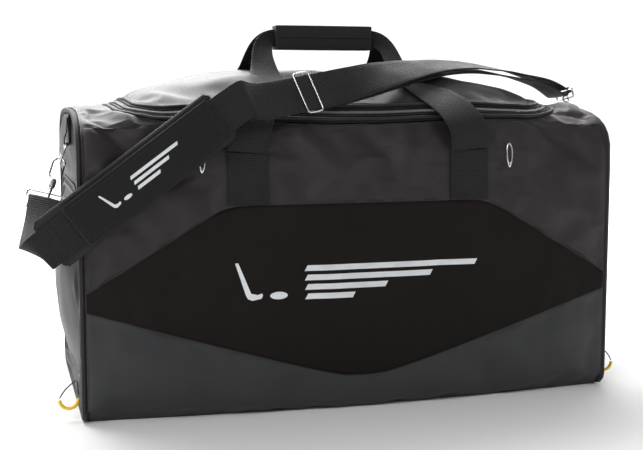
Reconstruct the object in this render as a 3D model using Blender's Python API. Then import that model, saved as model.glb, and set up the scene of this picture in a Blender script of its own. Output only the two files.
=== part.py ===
"""Hockey equipment bag: a soft duffel with a U-shaped zipped lid, carry handles, a padded
shoulder strap on snap hooks, and a zipped skate pocket in each end.

Frame: metres, +X along the bag to the right, +Y to the back, +Z up, origin at the middle of
the base on the floor.
"""
import math

import bmesh
import bpy
from mathutils import Matrix, Vector

# Driving dimensions of the bag
HALF_LENGTH = 0.380      # middle of the bag to the end seams
HALF_DEPTH = 0.200       # middle of the bag to the front and back faces
SHOULDER_Z = 0.330       # height where the walls start to round over
END_TOP = 0.415          # height of the end arches
CREST = 0.466            # height of the closed lid at its middle
BOTTOM_RADIUS = 0.020
BELLY = 0.018            # how far the front and back swell at mid-length
SKIN = 0.0025            # fabric with its lining
GAP = 0.0004             # clearance between neighbouring pieces
SEAM_GAP = 0.0012        # clearance where two curved panels are cut at different stations
ROUND = 0.130            # length along the round top that one radian of it takes

# Seams of the front and back
INSERT_TOP = 0.288
INSERT_TIP_HIGH = 0.176
INSERT_TIP_LOW = 0.150
INSERT_POINT = 0.044     # lowest point of the insert's V
INSERT_FLAT = 0.190      # half-length of the insert's level top seam
SEAM_END = HALF_LENGTH - 0.0015

# Lid and its zipper, drawn by its middle line
ZIP_HALF = 0.315
ZIP_FRONT = -0.165
ZIP_RADIUS = 0.060
LEG_END = 0.162          # where the zipper's legs stop, at the lid's hinge
HINGE_Y = 0.165
TAPE = 0.0130            # half-width of the zipper with both tapes
TOOTH_GAP = 0.0015       # half-width of the slot between the tapes

# Vents
EYELET_X = 0.223
EYELET_Z = 0.345

# Webbing
WEB = 0.0024
HANDLE_X = 0.1605
HANDLE_WIDTH = 0.057
HANDLE_PIVOT = (0.2035, 0.3635)      # distance from the middle plane, height
STRAP_WIDTH = 0.052
GRIP_HALF = 0.076
GRIP_Z = 0.5215
GRIP_HEIGHT = 0.037
GRIP_DEPTH = 0.027
GRIP_WALL = 0.0058
LOOP_OFFSET = 0.0037                 # each handle's distance from the middle, inside the grip

# Ends and pockets
END_FACE = 0.3835        # outer face of the end panels
DOOR_ZIP_Y = 0.165       # half-width of the pocket zipper, drawn by its middle line
DOOR_LOW = 0.030
DOOR_TOP = 0.300
DOOR_RADIUS = 0.060
DOOR_SWELL = 0.020
POCKET_DEPTH = 0.110
TAB_Y = -0.030
PULL_Y = -0.168

# Metal fittings
WIRE = 0.0020
DEE_Z = 0.3680
DEE_X = 0.3885
DEE_HALF = 0.0150
DEE_REACH = 0.0320
HOOK_EYE = 0.052         # D-ring wire to the strap ring's near bar
RING_BAR = 0.064         # D-ring wire to the strap ring's far bar


def principled(name, colour, roughness, metallic=0.0):
    material = bpy.data.materials.new(name)
    material.use_nodes = True
    shader = material.node_tree.nodes["Principled BSDF"]
    shader.inputs["Base Color"].default_value = (*colour, 1.0)
    shader.inputs["Roughness"].default_value = roughness
    shader.inputs["Metallic"].default_value = metallic
    material.diffuse_color = (*colour, 1.0)
    return material


def add_object(name, verts, faces, material, smooth=False):
    """One closed mesh object with its faces pointing out."""
    mesh = bpy.data.meshes.new(name)
    mesh.from_pydata([tuple(v) for v in verts], [], faces)
    work = bmesh.new()
    work.from_mesh(mesh)
    bmesh.ops.recalc_face_normals(work, faces=work.faces)
    work.to_mesh(mesh)
    work.free()
    mesh.materials.append(material)
    if smooth:
        mesh.shade_smooth()
    obj = bpy.data.objects.new(name, mesh)
    bpy.context.scene.collection.objects.link(obj)
    return obj


def loft(name, rings, material, closed=False, smooth=False):
    """Skin a row of equal rings of points, with end caps unless the row closes on itself."""
    count = len(rings[0])
    verts = [p for ring in rings for p in ring]
    spans = len(rings) if closed else len(rings) - 1
    faces = []
    for i in range(spans):
        a = i * count
        b = ((i + 1) % len(rings)) * count
        for k in range(count):
            n = (k + 1) % count
            faces.append((a + k, a + n, b + n, b + k))
    if not closed:
        faces.append(tuple(range(count)))
        faces.append(tuple(range(len(verts) - count, len(verts))))
    return add_object(name, verts, faces, material, smooth)


def smooth_path(points, steps):
    """Points along a Catmull-Rom curve through the given ones; each may carry extra values."""
    out = []
    last = len(points) - 1
    for i in range(last):
        p0 = points[max(i - 1, 0)]
        p1 = points[i]
        p2 = points[i + 1]
        p3 = points[min(i + 2, last)]
        for k in range(steps):
            t = k / steps
            row = []
            for a, b, c, d in zip(p0, p1, p2, p3):
                bend = (2 * a - 5 * b + 4 * c - d) * t * t + (3 * b - a - 3 * c + d) * t ** 3
                row.append(0.5 * (2 * b + (c - a) * t + bend))
            out.append(tuple(row))
    out.append(tuple(points[last]))
    return out


def tangents(points, closed=False):
    result = []
    last = len(points) - 1
    for i in range(len(points)):
        ahead = points[(i + 1) % len(points)] if closed else points[min(i + 1, last)]
        behind = points[i - 1] if closed else points[max(i - 1, 0)]
        result.append((Vector(ahead) - Vector(behind)).normalized())
    return result


def ribbon(name, rows, material, thickness=WEB):
    """Webbing through rows of (x, y, z, width direction x, y, z, width)."""
    centres = [Vector(row[:3]) for row in rows]
    rings = []
    for row, centre, along in zip(rows, centres, tangents(centres)):
        across = Vector(row[3:6])
        across = (across - across.dot(along) * along).normalized() * row[6] / 2
        out = along.cross(across).normalized() * thickness / 2
        rings.append([centre - across - out, centre + across - out,
                      centre + across + out, centre - across + out])
    return loft(name, rings, material)


def tube(name, points, radius, material, closed=False, sides=8):
    """A round wire along the points, with a frame that doesn't twist."""
    points = [Vector(p) for p in points]
    rings = []
    side = None
    for centre, along in zip(points, tangents(points, closed)):
        if side is None:
            side = along.orthogonal().normalized()
        side = (side - side.dot(along) * along).normalized()
        other = along.cross(side)
        ring = []
        for k in range(sides):
            turn = 2 * math.pi * k / sides
            ring.append(centre + radius * (math.cos(turn) * side + math.sin(turn) * other))
        rings.append(ring)
    return loft(name, rings, material, closed, smooth=True)


def box(name, low, high, material):
    verts = [(x, y, z) for x in (low[0], high[0]) for y in (low[1], high[1]) for z in (low[2], high[2])]
    faces = [(0, 1, 3, 2), (4, 6, 7, 5), (0, 4, 5, 1), (2, 3, 7, 6), (0, 2, 6, 4), (1, 5, 7, 3)]
    return add_object(name, verts, faces, material)


def joined(base, parts):
    """Make one body of overlapping solids by boolean union."""
    for part in parts:
        union = base.modifiers.new("join_" + part.name, "BOOLEAN")
        union.operation = "UNION"
        union.object = part
        part.hide_render = True
        part.display_type = "WIRE"
        part.name = "joined_" + part.name
    return base


# The bag's outer surface. A section runs from the front's foot (v < BOTTOM_RADIUS), up the
# front (v is the height), and round the top (SHOULDER_Z + ROUND * angle), mirrored behind.

def crest_height(x):
    return END_TOP + 0.003 + (CREST - END_TOP - 0.003) * (1 - min(abs(x) / 0.33, 1.0) ** 3)


def squareness(x):
    """Superellipse exponent of the top: round at mid-length, boxy at the ends."""
    return 2.1 + 1.4 * (x / HALF_LENGTH) ** 2


def face_distance(x, z):
    """Distance of the front face from the middle plane."""
    rise = min(max((z - 0.12) / (SHOULDER_Z - 0.12), 0.0), 1.0)
    hold = 1 - rise * rise * (3 - 2 * rise)
    return HALF_DEPTH + BELLY * (1 - (x / HALF_LENGTH) ** 2) * hold


def skin_point(x, v):
    if v < BOTTOM_RADIUS:
        turn = (BOTTOM_RADIUS - v) / BOTTOM_RADIUS
        flat = face_distance(x, 0) - BOTTOM_RADIUS
        return Vector((x, -flat - BOTTOM_RADIUS * math.cos(turn), BOTTOM_RADIUS * (1 - math.sin(turn))))
    if v <= SHOULDER_Z:
        return Vector((x, -face_distance(x, v), v))
    angle = (v - SHOULDER_Z) / ROUND
    power = 2 / squareness(x)
    reach = math.copysign(abs(math.cos(angle)) ** power, math.cos(angle))
    rise = abs(math.sin(angle)) ** power
    return Vector((x, -HALF_DEPTH * reach, SHOULDER_Z + (crest_height(x) - SHOULDER_Z) * rise))


def v_at_y(x, y):
    """Place along the section of the top point at depth y."""
    reach = math.copysign((abs(y) / HALF_DEPTH) ** (squareness(x) / 2), -y)
    return SHOULDER_Z + ROUND * math.acos(max(-1.0, min(1.0, reach)))


def skin_normal(x, v):
    step = 0.001
    along = skin_point(x + step, v) - skin_point(x - step, v)
    up = skin_point(x, v + step) - skin_point(x, v - step)
    return along.cross(up).normalized()


def on_skin(x, v, height=0.0, back=False):
    """A point at a height over the surface, on the front half or mirrored to the back."""
    point = skin_point(x, v) + skin_normal(x, v) * height
    if back:
        point.y = -point.y
    return point


def skin_panel(name, columns, rows, material, low=-SKIN, high=0.0, back=False):
    """A panel between two seams: columns of (x, first v, last v), filled with rows."""
    outer = []
    inner = []
    for x, first, last in columns:
        for j in range(rows + 1):
            v = first + (last - first) * j / rows
            outer.append(on_skin(x, v, high, back))
            inner.append(on_skin(x, v, low, back))
    return grid_solid(name, outer, inner, rows + 1, material)


def grid_solid(name, outer, inner, run, material):
    """Close two matching grids of points, stored in runs, into one solid sheet."""
    shift = len(outer)
    columns = shift // run
    faces = []
    for i in range(columns - 1):
        for j in range(run - 1):
            a = i * run + j
            quad = (a, a + run, a + run + 1, a + 1)
            faces.append(quad)
            faces.append(tuple(shift + k for k in reversed(quad)))
    rim = [i * run for i in range(columns)]
    rim += [(columns - 1) * run + j for j in range(1, run)]
    rim += [i * run + run - 1 for i in range(columns - 2, -1, -1)]
    rim += [j for j in range(run - 2, 0, -1)]
    for k, a in enumerate(rim):
        b = rim[(k + 1) % len(rim)]
        faces.append((a, shift + a, shift + b, b))
    return add_object(name, outer + inner, faces, material, smooth=True)


def spread(low, high, count):
    return [low + (high - low) * i / (count - 1) for i in range(count)]


def insert_top(x):
    slope = (INSERT_TOP - INSERT_TIP_HIGH) / (SEAM_END - INSERT_FLAT)
    return min(INSERT_TOP, INSERT_TIP_HIGH + slope * (SEAM_END - abs(x)))


def insert_low(x):
    """The insert's lower seam, a V with a rounded point."""
    blunt = 0.030
    rise = (math.hypot(x, blunt) - blunt) / (math.hypot(SEAM_END, blunt) - blunt)
    return INSERT_POINT + (INSERT_TIP_LOW - INSERT_POINT) * rise


def wall_columns(count):
    """X stations along the bag, with one at each end of the insert's level top seam."""
    side = spread(INSERT_FLAT, SEAM_END, count)
    return [-x for x in reversed(side)] + spread(-INSERT_FLAT, INSERT_FLAT, count + 3)[1:-1] + side


def build_walls(fabric, insert, coated):
    foot = BOTTOM_RADIUS * (1 - math.pi / 2)
    stations = wall_columns(5)
    for side, back in (("front", False), ("rear", True)):
        top_y = -HINGE_Y if back else ZIP_FRONT - TAPE
        skin_panel(side + "_base_panel", [(x, foot, insert_low(x) - GAP) for x in stations], 5,
                   coated, back=back)
        skin_panel(side + "_insert_panel", [(x, insert_low(x) + GAP, insert_top(x) - GAP) for x in stations],
                   4, insert, back=back)
        skin_panel(side + "_upper_panel", [(x, insert_top(x) + GAP, v_at_y(x, top_y) - SEAM_GAP) for x in stations],
                   9, fabric, back=back)
    plate_z = 0.0028
    outline = [(x, face_distance(x, 0) - BOTTOM_RADIUS - GAP) for x in stations]
    outer = [Vector((x, y * s, 0.0)) for x, y in outline for s in (-1, 1)]
    inner = [p + Vector((0, 0, plate_z)) for p in outer]
    grid_solid("bottom_panel", outer, inner, 2, coated)


def zip_edge(offset, legs, corner, front):
    """(x, y) stations of the lid's U, at an offset outwards from the zipper's middle line."""
    straight = ZIP_HALF - ZIP_RADIUS
    turn_y = ZIP_FRONT + ZIP_RADIUS
    reach = ZIP_RADIUS + offset
    right = [(straight + reach, y) for y in spread(LEG_END, turn_y, legs)]
    for k in range(1, corner + 1):
        angle = math.pi / 2 * k / corner
        right.append((straight + reach * math.cos(angle), turn_y - reach * math.sin(angle)))
    run = [(x, turn_y - reach) for x in spread(straight, -straight, front)[1:-1]]
    left = [(-x, y) for x, y in reversed(right)]
    return right + run + left


def top_point(x, y, height=0.0):
    return on_skin(x, v_at_y(x, y), height)


def build_zip_tape(name, inner_offset, outer_offset, material):
    edges = [zip_edge(offset, 4, 5, 8) for offset in (inner_offset, outer_offset)]
    outer = [top_point(*edge[i]) for i in range(len(edges[0])) for edge in edges]
    inner = [top_point(*edge[i], -SKIN) for i in range(len(edges[0])) for edge in edges]
    grid_solid(name, outer, inner, 2, material)


def build_shoulders(fabric):
    """The two top panels between the lid's zipper and the end seams."""
    straight = ZIP_HALF - ZIP_RADIUS
    turn_y = ZIP_FRONT + ZIP_RADIUS
    reach = ZIP_RADIUS + TAPE + GAP
    corner = [turn_y - reach * math.cos(math.pi / 2 * k / 5) for k in range(5)]
    rows = corner + spread(turn_y, HINGE_Y - GAP, 6)
    for side, sign in (("left", -1), ("right", 1)):
        outer = []
        inner = []
        for y in rows:
            drop = max(turn_y - y, 0.0)
            edge = straight + math.sqrt(max(reach * reach - drop * drop, 0.0))
            for x in spread(edge, SEAM_END, 4):
                outer.append(top_point(sign * x, y))
                inner.append(top_point(sign * x, y, -SKIN))
        grid_solid(side + "_shoulder_panel", outer, inner, 4, fabric)


def build_lid(fabric):
    straight = ZIP_HALF - ZIP_RADIUS
    turn_y = ZIP_FRONT + ZIP_RADIUS
    reach = ZIP_RADIUS - TAPE - GAP
    corner = [straight + reach * math.sin(math.pi / 2 * k / 4) for k in range(1, 5)]
    half = spread(0.0, straight, 5)[1:] + corner
    outer = []
    inner = []
    for x in [-x for x in reversed(half)] + [0.0] + half:
        over = max(abs(x) - straight, 0.0)
        front = turn_y - math.sqrt(max(reach * reach - over * over, 0.0))
        for y in spread(front, HINGE_Y - GAP, 10):
            outer.append(top_point(x, y))
            inner.append(top_point(x, y, -SKIN))
    grid_solid("lid_panel", outer, inner, 10, fabric)


# Ends: an arched panel with the pocket's opening, piping round it, and a door in the opening

def end_outline(inset, count):
    """(y, z) points round an end's section from mid-base, at a distance inside it."""
    foot = BOTTOM_RADIUS * (1 - math.pi / 2)
    top = SHOULDER_Z + ROUND * math.pi / 2
    stations = spread(foot, BOTTOM_RADIUS, 4) + spread(0.06, SHOULDER_Z, 6)
    stations += spread(SHOULDER_Z, top, count)[1:]
    side = []
    for v in stations:
        point = on_skin(HALF_LENGTH, v)
        normal = skin_normal(HALF_LENGTH, v)
        flat = Vector((normal.y, normal.z)).normalized()
        side.append((point.y - flat.x * inset, point.z - flat.y * inset))
    mirrored = [(-y, z) for y, z in reversed(side[:-1])]
    return side + mirrored


def door_outline(offset, arc=5, straight=3, foot=DOOR_LOW, level=2):
    """(y, z) points of the pocket zipper's upside-down U, from its front foot to its rear foot."""
    half = DOOR_ZIP_Y + offset
    turn_z = DOOR_TOP - DOOR_RADIUS
    reach = DOOR_RADIUS + offset
    side = [(-half, z) for z in spread(foot - min(offset, 0.0), turn_z, straight)]
    for k in range(1, arc + 1):
        angle = math.pi / 2 * k / arc
        side.append((-half + reach - reach * math.cos(angle), turn_z + reach * math.sin(angle)))
    end_y, end_z = side[-1]
    top = [(y, end_z) for y in spread(end_y, -end_y, level)[1:-1]]
    return side + top + [(-y, z) for y, z in reversed(side)]


def ray_hit(outline, through, centre=(0.0, 0.16)):
    """Where the ray from the centre through a point leaves a closed outline."""
    ray = Vector(through) - Vector(centre)
    best = None
    for a, b in zip(outline, outline[1:] + outline[:1]):
        side = Vector(b) - Vector(a)
        to_start = Vector(a) - Vector(centre)
        across = ray.x * side.y - ray.y * side.x
        if abs(across) < 1e-12:
            continue
        travel = (to_start.x * side.y - to_start.y * side.x) / across
        share = (to_start.x * ray.y - to_start.y * ray.x) / across
        if travel > 0 and -1e-9 <= share <= 1 + 1e-9 and (best is None or travel > best):
            best = travel
    hit = Vector(centre) + ray * best
    return hit.x, hit.y


def build_end(side, sign, fabric, insert, tape, piping):
    face = END_FACE
    plate = END_FACE - 0.0030

    def at(x, y, z):
        return Vector((sign * x, y, z))

    rim = end_outline(0.0092, 9)
    sill = DOOR_LOW - SEAM_GAP
    hole = door_outline(TAPE - 0.0012, arc=8, straight=6, foot=sill, level=9)
    hole += [(y, sill) for y in spread(hole[-1][0], hole[0][0], 16)[1:-1]]
    edge = [ray_hit(rim, p) for p in hole]
    rings = [[at(face, *p) for p in edge], [at(plate, *p) for p in edge],
             [at(plate, *p) for p in hole], [at(face, *p) for p in hole]]
    loft(side + "_end_panel", rings, fabric, closed=True)
    tube(side + "_end_piping", [at(HALF_LENGTH + 0.0030, *p) for p in end_outline(0.0044, 9)], 0.0040,
         piping, closed=True, sides=6)

    edges = [door_outline(TAPE - 0.002), door_outline(TOOTH_GAP)]
    outer = [at(face + 0.0005, *edge[i]) for i in range(len(edges[0])) for edge in edges]
    inner = [at(face - 0.0015, *edge[i]) for i in range(len(edges[0])) for edge in edges]
    grid_solid(side + "_pocket_zip_tape", outer, inner, 2, tape)

    lines = [door_outline(-TOOTH_GAP - GAP), door_outline(-0.012), door_outline(-0.040), door_outline(-0.085)]
    swell = [0.0010, 0.0010, DOOR_SWELL * 0.70, DOOR_SWELL]
    outer = []
    inner = []
    for i in range(len(lines[0])):
        for line, rise in zip(lines, swell):
            y, z = line[i]
            lean = min(1.0, 0.30 + (DOOR_TOP - z) / 0.12) * min(1.0, 0.35 + (z - DOOR_LOW) / 0.05)
            height = rise if rise == swell[0] else rise * lean
            outer.append(at(face + height, y, z))
            inner.append(at(face + height - 0.0025, y, z))
    build_door(side, outer, inner, len(lines), fabric)

    build_liner(side, sign, insert)


def build_door(side, outer, inner, run, fabric):
    """The pocket's door: rings of points running in from its seam, closed across the middle."""
    shift = len(outer)
    count = shift // run
    faces = []
    for i in range(count):
        n = (i + 1) % count
        for j in range(run - 1):
            quad = (i * run + j, n * run + j, n * run + j + 1, i * run + j + 1)
            faces.append(quad)
            faces.append(tuple(shift + k for k in reversed(quad)))
        rim = (i * run, n * run)
        faces.append((rim[0], shift + rim[0], shift + rim[1], rim[1]))
    half = count // 2
    for start in (0, shift):
        middle = [start + i * run + run - 1 for i in range(count)]
        for i in range(half - 1):
            faces.append((middle[i], middle[i + 1], middle[count - 2 - i], middle[count - 1 - i]))
    add_object(side + "_pocket_door", outer + inner, faces, fabric, smooth=True)


def build_liner(side, sign, material):
    """The pocket's thin inner walls: a tray on its side, open to the door."""
    wall = 0.002
    low_y, high_y = -0.150, 0.150
    low_z, high_z = 0.0300, 0.285
    outside = END_FACE - 0.0036
    inside = outside - POCKET_DEPTH
    def corners(x, inset):
        return [Vector((sign * x, y, z)) for y, z in ((low_y + inset, low_z + inset),
                (high_y - inset, low_z + inset), (high_y - inset, high_z - inset),
                (low_y + inset, high_z - inset))]
    rings = [corners(inside + wall, wall), corners(outside, wall), corners(outside, 0), corners(inside, 0)]
    loft(side + "_pocket_liner", rings, material)


def build_ends(fabric, insert, tape, piping):
    for side, sign in (("left", -1), ("right", 1)):
        build_end(side, sign, fabric, insert, tape, piping)


def build_handles(webbing, padding):
    """Anchors sewn on the panels, and a loop of webbing from each side into the grip."""
    pivot_y, pivot_z = HANDLE_PIVOT
    half = HANDLE_WIDTH / 2
    for face, back in (("front", False), ("rear", True)):
        for side, x in (("left", -HANDLE_X), ("right", HANDLE_X)):
            columns = [(x + dx, INSERT_TOP + 0.001, pivot_z - 0.0115) for dx in (-half, 0, half)]
            skin_panel(face + "_" + side + "_web_anchor", columns, 4, webbing,
                       low=SEAM_GAP, high=SEAM_GAP + WEB, back=back)
    # right half of the front loop, from its anchor to the grip: place, width direction, width
    half_loop = [
        (0.1605, -pivot_y, pivot_z, 1.0, 0.0, 0.0, 0.057),
        (0.1585, -0.2045, 0.386, 1.0, 0.0, 0.1, 0.057),
        (0.1510, -0.1950, 0.405, 1.0, 0.1, 0.2, 0.056),
        (0.1420, -0.1760, 0.421, 1.0, 0.2, 0.3, 0.054),
        (0.1300, -0.1500, 0.434, 1.0, 0.3, 0.3, 0.052),
        (0.1180, -0.1220, 0.4447, 1.0, 0.3, 0.1, 0.050),
        (0.1110, -0.1000, 0.4528, 1.0, 0.2, 0.0, 0.048),
        (0.1070, -0.0800, 0.4595, 1.0, 0.2, 0.0, 0.046),
        (0.1045, -0.0600, 0.4680, 1.0, 0.3, 0.1, 0.042),
        (0.1030, -0.0440, 0.4800, 1.0, 0.5, 0.2, 0.036),
        (0.1010, -0.0300, 0.4950, 0.9, 0.6, 0.5, 0.031),
        (0.0960, -0.0160, 0.5100, 0.6, 0.6, 0.8, 0.028),
        (0.0880, -0.0070, 0.5195, 0.3, 0.3, 1.0, 0.026),
        (0.0790, -LOOP_OFFSET, GRIP_Z, 0.0, 0.0, 1.0, 0.025),
        (0.0300, -LOOP_OFFSET, GRIP_Z, 0.0, 0.0, 1.0, 0.025),
    ]
    left_half = [(-x, y, z, wx, -wy, -wz, w) for x, y, z, wx, wy, wz, w in half_loop]
    flipped = [(x, y, z, -wx, -wy, -wz, w) for x, y, z, wx, wy, wz, w in reversed(half_loop)]
    front = left_half + flipped
    ribbon("front_handle_web", front, webbing)
    ribbon("rear_handle_web", [(x, -y, z, wx, -wy, wz, w) for x, y, z, wx, wy, wz, w in front], webbing)
    build_grip(padding)


def build_grip(padding):
    """Padded wrap: a back wall with a bottom lip, and a flap over the top and front."""
    low = GRIP_Z - GRIP_HEIGHT / 2
    high = GRIP_Z + GRIP_HEIGHT / 2
    deep = GRIP_DEPTH / 2
    wall = GRIP_WALL
    lip = 0.0050
    seam = high - wall
    sleeve = [(deep, low), (deep, seam - GAP), (deep - wall, seam - GAP), (deep - wall, low + lip),
              (-deep + wall + GAP, low + lip), (-deep + wall + GAP, low)]
    flap = [(-deep, low), (-deep + wall, low), (-deep + wall, seam), (deep, seam), (deep, high), (-deep, high)]
    for name, outline in (("grip_sleeve", sleeve), ("grip_flap", flap)):
        rings = [[Vector((x, y, z)) for y, z in outline] for x in (-GRIP_HALF, GRIP_HALF)]
        loft(name, rings, padding)


def dee_far(side):
    """Middle of each D-ring's far wire: the left one hangs, the right one is pulled out."""
    if side == "left":
        return Vector((-0.4000, TAB_Y, DEE_Z - 0.0300))
    return Vector((0.4180, TAB_Y, DEE_Z + 0.0115))


CHAIN = {"left": Vector((-0.300, -0.550, -0.780)).normalized(),
         "right": Vector((-0.292, 0.139, 0.946)).normalized()}
HOOK_PLANE = {"left": Vector((1, 0, 0)), "right": Vector((1, 0, 0))}
BAR_ALONG = {"left": Vector((1, 0, 0)), "right": Vector((0, -1, 0))}


def square_to(direction, axis):
    return (direction - direction.dot(axis) * axis).normalized()


def build_dees(metal, webbing):
    for side, sign in (("left", -1), ("right", 1)):
        bar = Vector((sign * DEE_X, TAB_Y, DEE_Z))
        far = dee_far(side)
        down = (far - bar).normalized()
        points = [bar + Vector((0, y, 0)) for y in (-DEE_HALF, 0, DEE_HALF)]
        for k in range(9):
            angle = math.pi * k / 8
            bulge = DEE_REACH - DEE_HALF + DEE_HALF * math.sin(angle)
            points.append(bar + down * bulge * (far - bar).length / DEE_REACH
                          + Vector((0, DEE_HALF * math.cos(angle), 0)))
        tube(side + "_d_ring", points, WIRE, metal, closed=True, sides=6)
        loop = 0.0036
        path = [(DEE_X - loop, DEE_Z + 0.040), (DEE_X - loop, DEE_Z + 0.010), (DEE_X - loop, DEE_Z)]
        path += [(DEE_X - loop * math.cos(math.pi * k / 6), DEE_Z - loop * math.sin(math.pi * k / 6))
                 for k in range(1, 7)]
        if side == "left":
            path += [(DEE_X + loop, DEE_Z + 0.006), (DEE_X, DEE_Z + 0.016), (DEE_X - 0.0014, DEE_Z + 0.036)]
        else:
            path = [(x, 2 * DEE_Z - z) for x, z in path]
            path += [(DEE_X + loop, DEE_Z - 0.006), (DEE_X, DEE_Z - 0.016), (DEE_X - 0.0014, DEE_Z - 0.036)]
        rows = [(sign * x, TAB_Y, z, 0.0, 1.0, 0.0, 0.024) for x, z in path]
        ribbon(side + "_d_ring_tab", rows, webbing, thickness=0.0016)


def build_hook(side, metal, lever):
    """A snap hook: an open wire loop on a turned barrel with an eye, and a sprung gate."""
    start = dee_far(side)
    axis = CHAIN[side]
    wide = square_to(HOOK_PLANE[side], axis)
    bar_along = square_to(BAR_ALONG[side], axis)
    eye_side = axis.cross(bar_along)

    def at(a, b):
        return start + axis * a + wide * b

    spread_b = 0.0085
    loop = [at(0.0290, 0.0), at(0.0250, -0.0060), at(0.0200, -spread_b), at(0.0100, -spread_b),
            at(0.0000, -spread_b)]
    for k in range(1, 8):
        angle = math.pi * k / 8
        loop.append(at(-0.0090 * math.sin(angle), -spread_b * math.cos(angle)))
    loop.append(at(0.0000, spread_b))
    hook = tube(side + "_snap_hook", loop, WIRE, metal, sides=8)
    profile = [(0.0260, 0.0022), (0.0290, 0.0050), (0.0400, 0.0050), (0.0430, 0.0030), (0.0480, 0.0030)]
    rings = []
    for a, radius in profile:
        ring = []
        for k in range(10):
            angle = 2 * math.pi * k / 10
            ring.append(start + axis * a + radius * (math.cos(angle) * wide
                        + math.sin(angle) * axis.cross(wide)))
        rings.append(ring)
    barrel = loft(side + "_barrel", rings, metal)
    eye = tube(side + "_eye", [start + axis * (HOOK_EYE + 0.0048 * math.cos(2 * math.pi * k / 12))
                               + eye_side * 0.0048 * math.sin(2 * math.pi * k / 12) for k in range(12)],
               0.0017, metal, closed=True, sides=6)
    joined(hook, [barrel, eye])
    gate = [at(0.0215, spread_b), at(0.0120, spread_b), at(0.0024, spread_b)]
    tube(side + "_snap_gate", gate, 0.0015, lever, sides=6)


def build_ring(side, metal):
    """The flat wire ring that joins a hook's eye to the strap."""
    start = dee_far(side)
    axis = CHAIN[side]
    along = square_to(BAR_ALONG[side], axis)
    half = STRAP_WIDTH / 2 + 0.004
    bend = 0.004
    middle = (HOOK_EYE + RING_BAR) / 2
    points = []
    for sx, sa in ((1, 1), (-1, 1), (-1, -1), (1, -1)):
        for k in range(4):
            angle = math.pi / 6 * k
            first, second = math.cos(angle), math.sin(angle)
            if sx * sa > 0:
                first, second = second, first
            across = half - bend + bend * second
            run = (RING_BAR - HOOK_EYE) / 2 - bend + bend * first
            points.append(start + axis * (middle + sa * run) + along * sx * across)
    tube(side + "_strap_ring", points, 0.0018, metal, closed=True, sides=6)


def bar_frame(side):
    """The strap ring's far bar: a point, the way along it, away from the hook, and square to both."""
    away = CHAIN[side]
    along = square_to(BAR_ALONG[side], away)
    return dee_far(side) + away * RING_BAR, along, away, away.cross(along)


def lowered(rows, distance):
    """The same run of webbing moved under itself, square to its face."""
    result = []
    centres = [Vector(row[:3]) for row in rows]
    for row, centre, run in zip(rows, centres, tangents(centres)):
        across = square_to(Vector(row[3:6]), run)
        out = run.cross(across)
        if out.z > 0:
            out = -out
        result.append((*(centre + out * distance), *row[3:]))
    return result


def build_strap(webbing, padding, overlay, metal):
    w = STRAP_WIDTH
    wrap = 0.0036
    bar, along, away, square = bar_frame("left")
    if square.y < 0:
        square = -square
    # round the left ring's bar: the short end is behind it, the long run in front
    rows = []
    for behind, beyond in ((1.0, 4.0), (1.0, 1.2), (1.0, 0.0), (0.72, -0.72), (0.0, -1.0), (-0.72, -0.72),
                           (-1.0, 0.0), (-1.1, 1.4)):
        rows.append((*(bar + (square * behind + away * beyond) * wrap), *along, w))
    rows += [
        (-0.4240, -0.0950, 0.2680, 1.00, -0.10, -0.20, w),
        (-0.4290, -0.1250, 0.2530, 1.00, 0.00, -0.20, w),
        (-0.4340, -0.1620, 0.2400, 1.00, 0.00, -0.30, w),
        (-0.4375, -0.1930, 0.2320, 1.00, 0.00, -0.40, w),
        (-0.4395, -0.2120, 0.2290, 1.00, 0.00, -0.50, w),
        (-0.4385, -0.2200, 0.2320, 0.90, 0.00, -0.60, w),
        (-0.4340, -0.2220, 0.2365, 0.75, 0.00, -0.80, w),
        (-0.4180, -0.2220, 0.2482, 0.60, 0.00, -0.80, w),
        (-0.1800, -0.2220, 0.4236, 0.60, 0.00, -0.80, w),
        (-0.1640, -0.2195, 0.4262, 0.52, -0.10, -0.84, w),
        (-0.1460, -0.2115, 0.4274, 0.42, -0.25, -0.87, w),
    ]
    bar, along, away, square = bar_frame("right")
    if square.x < 0:
        square = -square
    over = [
        (*STRETCH_START, 0.35, -0.35, -0.87, w),
        (*STRETCH_MIDDLE, 0.35, -0.35, -0.87, w),
        (*STRETCH_END, 0.35, -0.35, -0.87, w),
        (0.0300, -0.1450, 0.4590, 0.25, -0.60, -0.75, w),
        (0.0800, -0.1170, 0.4690, 0.20, -0.80, -0.58, w),
        (0.1200, -0.0940, 0.4750, 0.15, -0.90, -0.42, w),
        (0.1700, -0.0740, 0.4800, 0.10, -0.95, -0.30, w),
        (0.2200, -0.0560, 0.4800, 0.10, -0.98, -0.20, w),
        (0.2700, -0.0430, 0.4750, 0.05, -1.00, -0.12, w),
        (0.3200, -0.0320, 0.4660, 0.00, -1.00, -0.05, w),
        (0.3600, -0.0250, 0.4560, 0.00, -1.00, 0.10, w),
    ]
    over = over[:2] + smooth_path(over[2:], 2)
    end = [(*(bar + (square * beyond + away * above) * wrap), *along, w) for beyond, above in
           ((-2.6, 1.5), (-1.2, 1.15), (-0.4, 1.1))]
    ribbon("strap_web", rows + over + end, webbing)
    # the end that comes back under it from the right ring and is sewn on the adjuster's bar
    back = [(*(STRETCH_MIDDLE + STRETCH * 0.0060), 0.35, -0.35, -0.87, w)] + over[2:]
    back = lowered(back, 0.0072)
    back += [(*(bar + (square * beyond + away * above) * wrap), *along, w) for beyond, above in
             ((-4.0, -0.9), (-1.2, -1.0), (0.0, -1.0), (0.72, -0.72), (1.0, 0.0), (0.8, 0.6))]
    ribbon("strap_web_return", back, webbing)
    build_pad(padding, overlay)
    build_adjuster(metal)


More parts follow.
